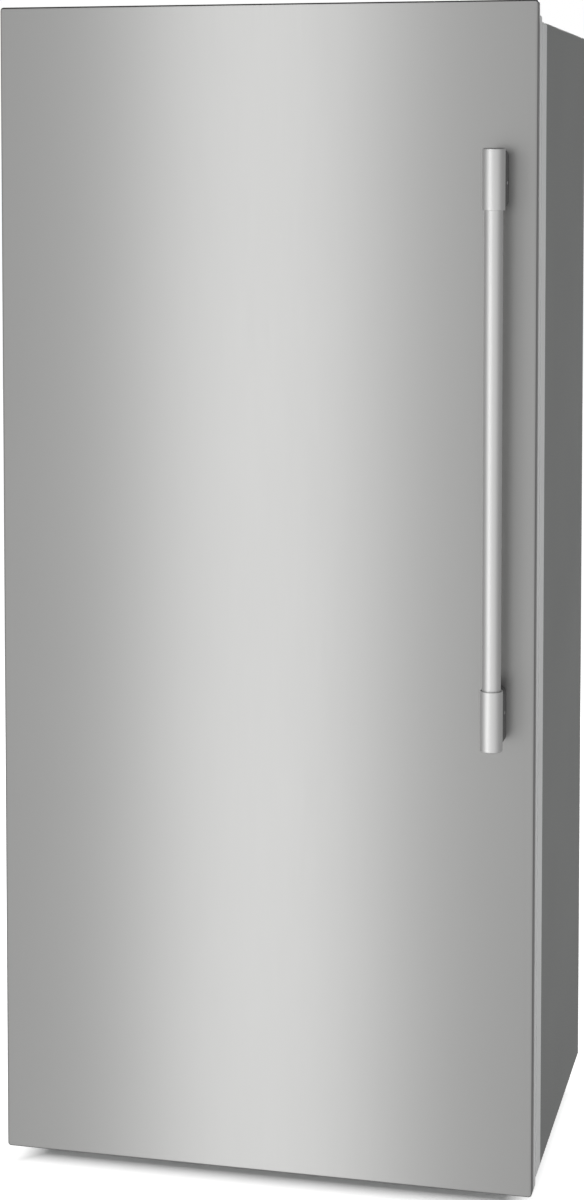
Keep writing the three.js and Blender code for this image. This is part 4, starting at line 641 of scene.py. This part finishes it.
def panelScrews():
    # up both sides and across the top of the back panel, and along the cover's edges
    low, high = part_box("back_panel")
    sheetFace, edge = low.y + rearScrews["sheet"] * mm, rearScrews["inset"] * mm
    sideX, topZ = high.x - edge, high.z - edge
    heights = evenly(low.z + rearScrews["lowest"] * mm, topZ, rearScrews["upEachSide"])
    spots = [(side * sideX, sheetFace, z) for side in (-1, 1) for z in heights]
    spots += [(x, sheetFace, topZ) for x in evenly(-sideX, sideX, rearScrews["acrossTop"])[1:-1]]
    low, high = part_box("machine_cover")
    spots += [(side * sideX, sheetFace, z) for side in (-1, 1) for z in (low.z + edge, high.z - edge)]
    reach, edge = rearScrews["coverReach"] * mm, rearScrews["coverInset"] * mm
    spots += [(x, sheetFace, z) for x in (-reach, reach) for z in (low.z + edge, high.z - edge)]
    screwHeads("rearSheetScrews", spots, "y", 1, rearScrews["radius"], rearScrews["height"], "cabinet")


grilleScrews = dict(radius=3.0, height=1.4, inset=8.0)
hingeCoverScrew = dict(radius=4.0, height=1.8, fromBack=22.0)
coverScrews = dict(
    radius=4.0, height=1.6, inset=14.0, fromBottom=40.0, fromTop=30.0, between=(870.0, 1260.0),
)


def trimScrews():
    # two in the toe grille, one in the hinge's cover, and four up each side of the evaporator's cover
    low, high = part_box("toe_grille")
    inset, z = grilleScrews["inset"] * mm, (low.z + high.z) / 2
    screwHeads(
        "grilleScrews", [(x, low.y, z) for x in (low.x + inset, high.x - inset)], "y", -1,
        grilleScrews["radius"], grilleScrews["height"], "cabinet", "black_paint",
    )
    low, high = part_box("top_hinge_cover")
    spot = ((low.x + high.x) / 2, high.y - hingeCoverScrew["fromBack"] * mm, high.z)
    screwHeads(
        "hingeCoverScrew", [spot], "z", 1, hingeCoverScrew["radius"], hingeCoverScrew["height"], "cabinet",
    )
    low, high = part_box("evaporator_cover")
    sideX = high.x - coverScrews["inset"] * mm
    heights = [low.z + coverScrews["fromBottom"] * mm, *(z * mm for z in coverScrews["between"])]
    heights += [high.z - coverScrews["fromTop"] * mm]
    spots = [(side * sideX, low.y, z) for side in (-1, 1) for z in heights]
    screwHeads(
        "coverScrews", spots, "y", -1,
        coverScrews["radius"], coverScrews["height"], "cabinet", "white_plastic",
    )


panelScrews()
trimScrews()
print("screws done")

# distance in from each end of a trim, and the size of its section there
stripEnd = [(0.0, 0.72), (0.8, 0.93), (2.2, 1.0)]


def mouldedStrip(name, x0, x1, section, body):
    # a closed section in y and z carried along x, drawn in towards its middle near both ends
    section = np.array(section)
    middle = section.mean(axis=0)
    steps = [(along * mm, size) for along, size in stripEnd]
    steps += [(x1 - x0 - along, size) for along, size in steps[::-1]]
    rings = [np.insert((section - middle) * size + middle, 0, x0 + along, axis=1) for along, size in steps]
    fromGrids(name, [(np.array(rings), False, True, True)], body, "silver_paint", crease=40)


shelfEdge = dict(reach=3.2, flattening=0.6, stand=0.05, sunk=0.2, inset=4.0, steps=15)


def shelfTrim(index):
    # half a flattened circle on the front of the shelf's frame: the cosine to a power below one, the sine
    low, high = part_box(f"shelf_frame_{index}")
    half, middle = (high.z - low.z) / 2, (high.z + low.z) / 2
    reach, stand, root = shelfEdge["reach"] * mm, shelfEdge["stand"] * mm, low.y + shelfEdge["sunk"] * mm
    section = [
        (low.y - reach * math.cos(a) ** shelfEdge["flattening"] - stand, middle + half * math.sin(a))
        for a in np.linspace(-math.pi / 2, math.pi / 2, shelfEdge["steps"])
    ]
    section += [(root, middle + half), (root, middle - half)]
    inset = shelfEdge["inset"] * mm
    mouldedStrip(f"shelfTrim{index}", low.x + inset, high.x - inset, section, "cabinet")


binEdge = dict(drop=10.0, height=9.0, reach=1.1, ease=0.5, sunk=0.5, lean=6 / 91, inset=12.0)


def binTrim(index):
    # a raised band under the rim of the bin's front, leaning outwards with it towards the rim
    low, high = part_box(f"door_bin_{index}")
    top = high.z - binEdge["drop"] * mm
    bottom, proud, ease = top - binEdge["height"] * mm, binEdge["reach"] * mm, binEdge["ease"] * mm
    section = [(-binEdge["sunk"] * mm, bottom), (proud - ease, bottom), (proud, bottom + ease)]
    section += [(proud, top - ease), (proud - ease, top), (-binEdge["sunk"] * mm, top)]
    section = [(high.y - (high.z - z) * binEdge["lean"] + reach, z) for reach, z in section]
    inset = binEdge["inset"] * mm
    mouldedStrip(f"binTrim{index}", low.x + inset, high.x - inset, section, "door")


lights = dict(count=5, first=52.0, pitch=11.0, radius=1.6, sunk=0.1, rim=0.3, dome=0.7, roundFrom=0.2)


def statusLights():
    # low domes in a row beside the buttons: radius follows the cosine and height the sine of a quarter turn
    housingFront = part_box("control_housing")[0].y
    z = sum(corner.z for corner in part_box("control_button_1")) / 2
    r, rim = lights["radius"], lights["rim"]
    dome = [(r, lights["sunk"]), (r, -rim)] + [
        (r * math.cos(a), -rim - lights["dome"] * math.sin(a))
        for a in np.linspace(lights["roundFrom"], math.pi / 2, 6)
    ]
    profile = [(radius * mm, along * mm) for radius, along in dome]
    places = [(lights["first"] + step * lights["pitch"]) * mm for step in range(lights["count"])]
    grids = [(revolved(profile, (x, housingFront, z), "y", 20), False, True, False) for x in places]
    fromGrids("statusLights", grids, "cabinet", "grey_plastic", crease=50)


for index in (1, 2, 3):
    shelfTrim(index)
for index in (1, 2, 3, 4):
    binTrim(index)
statusLights()
print("trims done")

# solids that keep their shape, and the radius of their rounded edges in mm
roundings = {
    "door_frame": 0.5, "cabinet_front_frame": 0.5, "cabinet_wrapper": 0.5, "door_liner": 1.2,
    "cabinet_liner": 1.2, "toe_grille": 0.6, "top_hinge_cover": 2.0, "top_hinge_bracket": 0.4,
    "bottom_hinge_bracket": 0.4, "control_housing": 1.2, "interior_lamp": 1.5, "evaporator_cover": 1.0,
    **{f"shelf_frame_{index}": 0.8 for index in (1, 2, 3)}, "drawer_upper": 0.9, "drawer_lower": 0.9,
    **{f"door_bin_{index}": 0.8 for index in (1, 2, 3, 4)},
    **{f"shelf_glass_{index}": 0.6 for index in (1, 2, 3)},
    "back_panel": 0.5, "machine_cover": 0.5, "cord_gland": 0.5, "compressor": 1.0,
    "control_button_1": 0.4, "control_button_2": 0.4, "lamp_switch_plunger": 0.4,
    "rear_roller_left": 1.0, "rear_roller_right": 1.0,
}
for node, rounding in roundings.items():
    softened(node, rounding, finish=lampLens if node == "interior_lamp" else None)
print("softened:", len(roundings))

# every solid takes the finish of its slot, also where a finished piece stands in for it
for node, solid in frame["nodes"].items():
    solid.data.materials.clear()
    solid.data.materials.append(finishes[slotOf[node]])
print("solids finished:", len(frame["nodes"]))

studio = dict(
    floorSize=24.0, floorPoints=9, floorDrop=0.0005, floorShade=(0.86, 0.86, 0.855), floorGlow=0.95,
    # the painted shadow under the freezer: the floor's glow there, and the width it fades in over
    paintedShadowGlow=(0.03, 0.03, 0.03), paintedShadowFade=0.05,
    ambient=0.73, side=0.27, frontFade=(-0.75, -0.1), overhead=0.10, topFade=(0.2, 0.75),
    stripAt=(-0.30, -1.46, 0.75), stripWidth=0.46, stripHeight=3.7, stripPower=6.4,
    rearAt=(0.0, 3.4, 1.9), rearTarget=(0, 0, 1.2), rearSize=0.8, rearPower=50.0,
)


def studioFloor():
    # a flat square just below the feet, which glows everywhere but under the freezer, where a painted
    # shadow dims the glow
    half, count = studio["floorSize"] / 2, studio["floorPoints"]
    span = np.linspace(-half, half, count)
    x, y = np.meshgrid(span, span, indexing="ij")
    grid = np.stack([x, y, np.full_like(x, -studio["floorDrop"])], -1)
    mesh = bpy.data.meshes.new("studioFloor")
    mesh.from_pydata(grid.reshape(-1, 3).tolist(), [], gridQuads(count, count).tolist())
    floor = bpy.data.objects.new("studioFloor", mesh)
    bpy.context.scene.collection.objects.link(floor)
    f = newFinish("paleFloor")
    shade, fade = studio["floorShade"], studio["paintedShadowFade"]
    parts = f.node("SeparateXYZ", inputs={"Vector": f.place()})
    # painted shadow: a mask that is one beyond the freezer's footprint and falls to nought over it
    middle, reach = (cabinetHigh.y + doorLow.y) / 2, (cabinetHigh.y - doorLow.y) / 2
    across = f.spread(f.math("ABSOLUTE", parts), cabinetHigh.x - fade, cabinetHigh.x)
    along = f.spread(f.math("ABSOLUTE", f.output(parts, "Y") - middle), reach - fade, reach)
    outsidePaintedShadow = f.math("MAXIMUM", across, along)
    mesh.materials.append(f.done(
        color=f.tint(f.noise(f.place(), scale=0.8), shade, deeper(shade, 0.98)), roughness=0.8,
        glow=f.tint(outsidePaintedShadow, studio["paintedShadowGlow"], (1, 1, 1)), glowStrength=studio["floorGlow"],
    ))
    floor.visible_glossy, floor.visible_shadow = False, False


def studioWorld():
    # a soft surround: bright in front, falling off to the sides, above and behind; white to the eye
    world = bpy.data.worlds.new("studio")
    bpy.context.scene.world = world
    w = Wiring(world)
    parts = w.node("SeparateXYZ", inputs={"Vector": w.node("TexCoord", output="Generated")})
    frontal = w.spread(
        w.output(parts, "Y"), *studio["frontFade"], studio["ambient"], studio["side"], "SMOOTHSTEP",
    )
    upper = w.spread(w.output(parts, "Z"), *studio["topFade"], 1.0, studio["overhead"], "SMOOTHSTEP")
    surround = w.node("Background", inputs={"Color": frontal * upper, "Strength": 1.0})
    white = w.node("Background", inputs={"Color": (1, 1, 1, 1), "Strength": 1.0})
    seen = w.node("LightPath", output="Is Camera Ray")
    w.node("OutputWorld", inputs={"Surface": w.node("MixShader", inputs={0: seen, 1: surround, 2: white})})


def softLight(name, place, target, width, height, power):
    # a rectangular lamp turned to face its target, unseen by the camera
    light = bpy.data.lights.new(name, "AREA")
    light.shape, light.size, light.size_y, light.energy = "RECTANGLE", width, height, power
    holder = bpy.data.objects.new(name, light)
    holder.location = place
    holder.rotation_euler = (Vector(target) - Vector(place)).to_track_quat("-Z", "Y").to_euler()
    holder.visible_camera = False
    bpy.context.scene.collection.objects.link(holder)


studioFloor()
studioWorld()
stripTarget = (0.0, doorLow.y, studio["stripAt"][2])
softLight(
    "tallStrip", studio["stripAt"], stripTarget,
    studio["stripWidth"], studio["stripHeight"], studio["stripPower"],
)
softLight(
    "rearPanel", studio["rearAt"], studio["rearTarget"],
    studio["rearSize"], studio["rearSize"], studio["rearPower"],
)
print("studio done")

view = dict(place=(0.9115, -3.833, 1.595), tilt=86.68, turn=13.60, lens=72.97, sensor=36.0, shift=-0.25)
optics = bpy.data.cameras.new("photoCamera")
optics.lens, optics.sensor_width, optics.shift_y = view["lens"], view["sensor"], view["shift"]
camera = bpy.data.objects.new("photoCamera", optics)
camera.location = view["place"]
camera.rotation_euler = (math.radians(view["tilt"]), 0, math.radians(view["turn"]))
bpy.context.scene.collection.objects.link(camera)
bpy.context.scene.camera = camera
bpy.context.scene.view_settings.view_transform = "Standard"

print("scene ready")
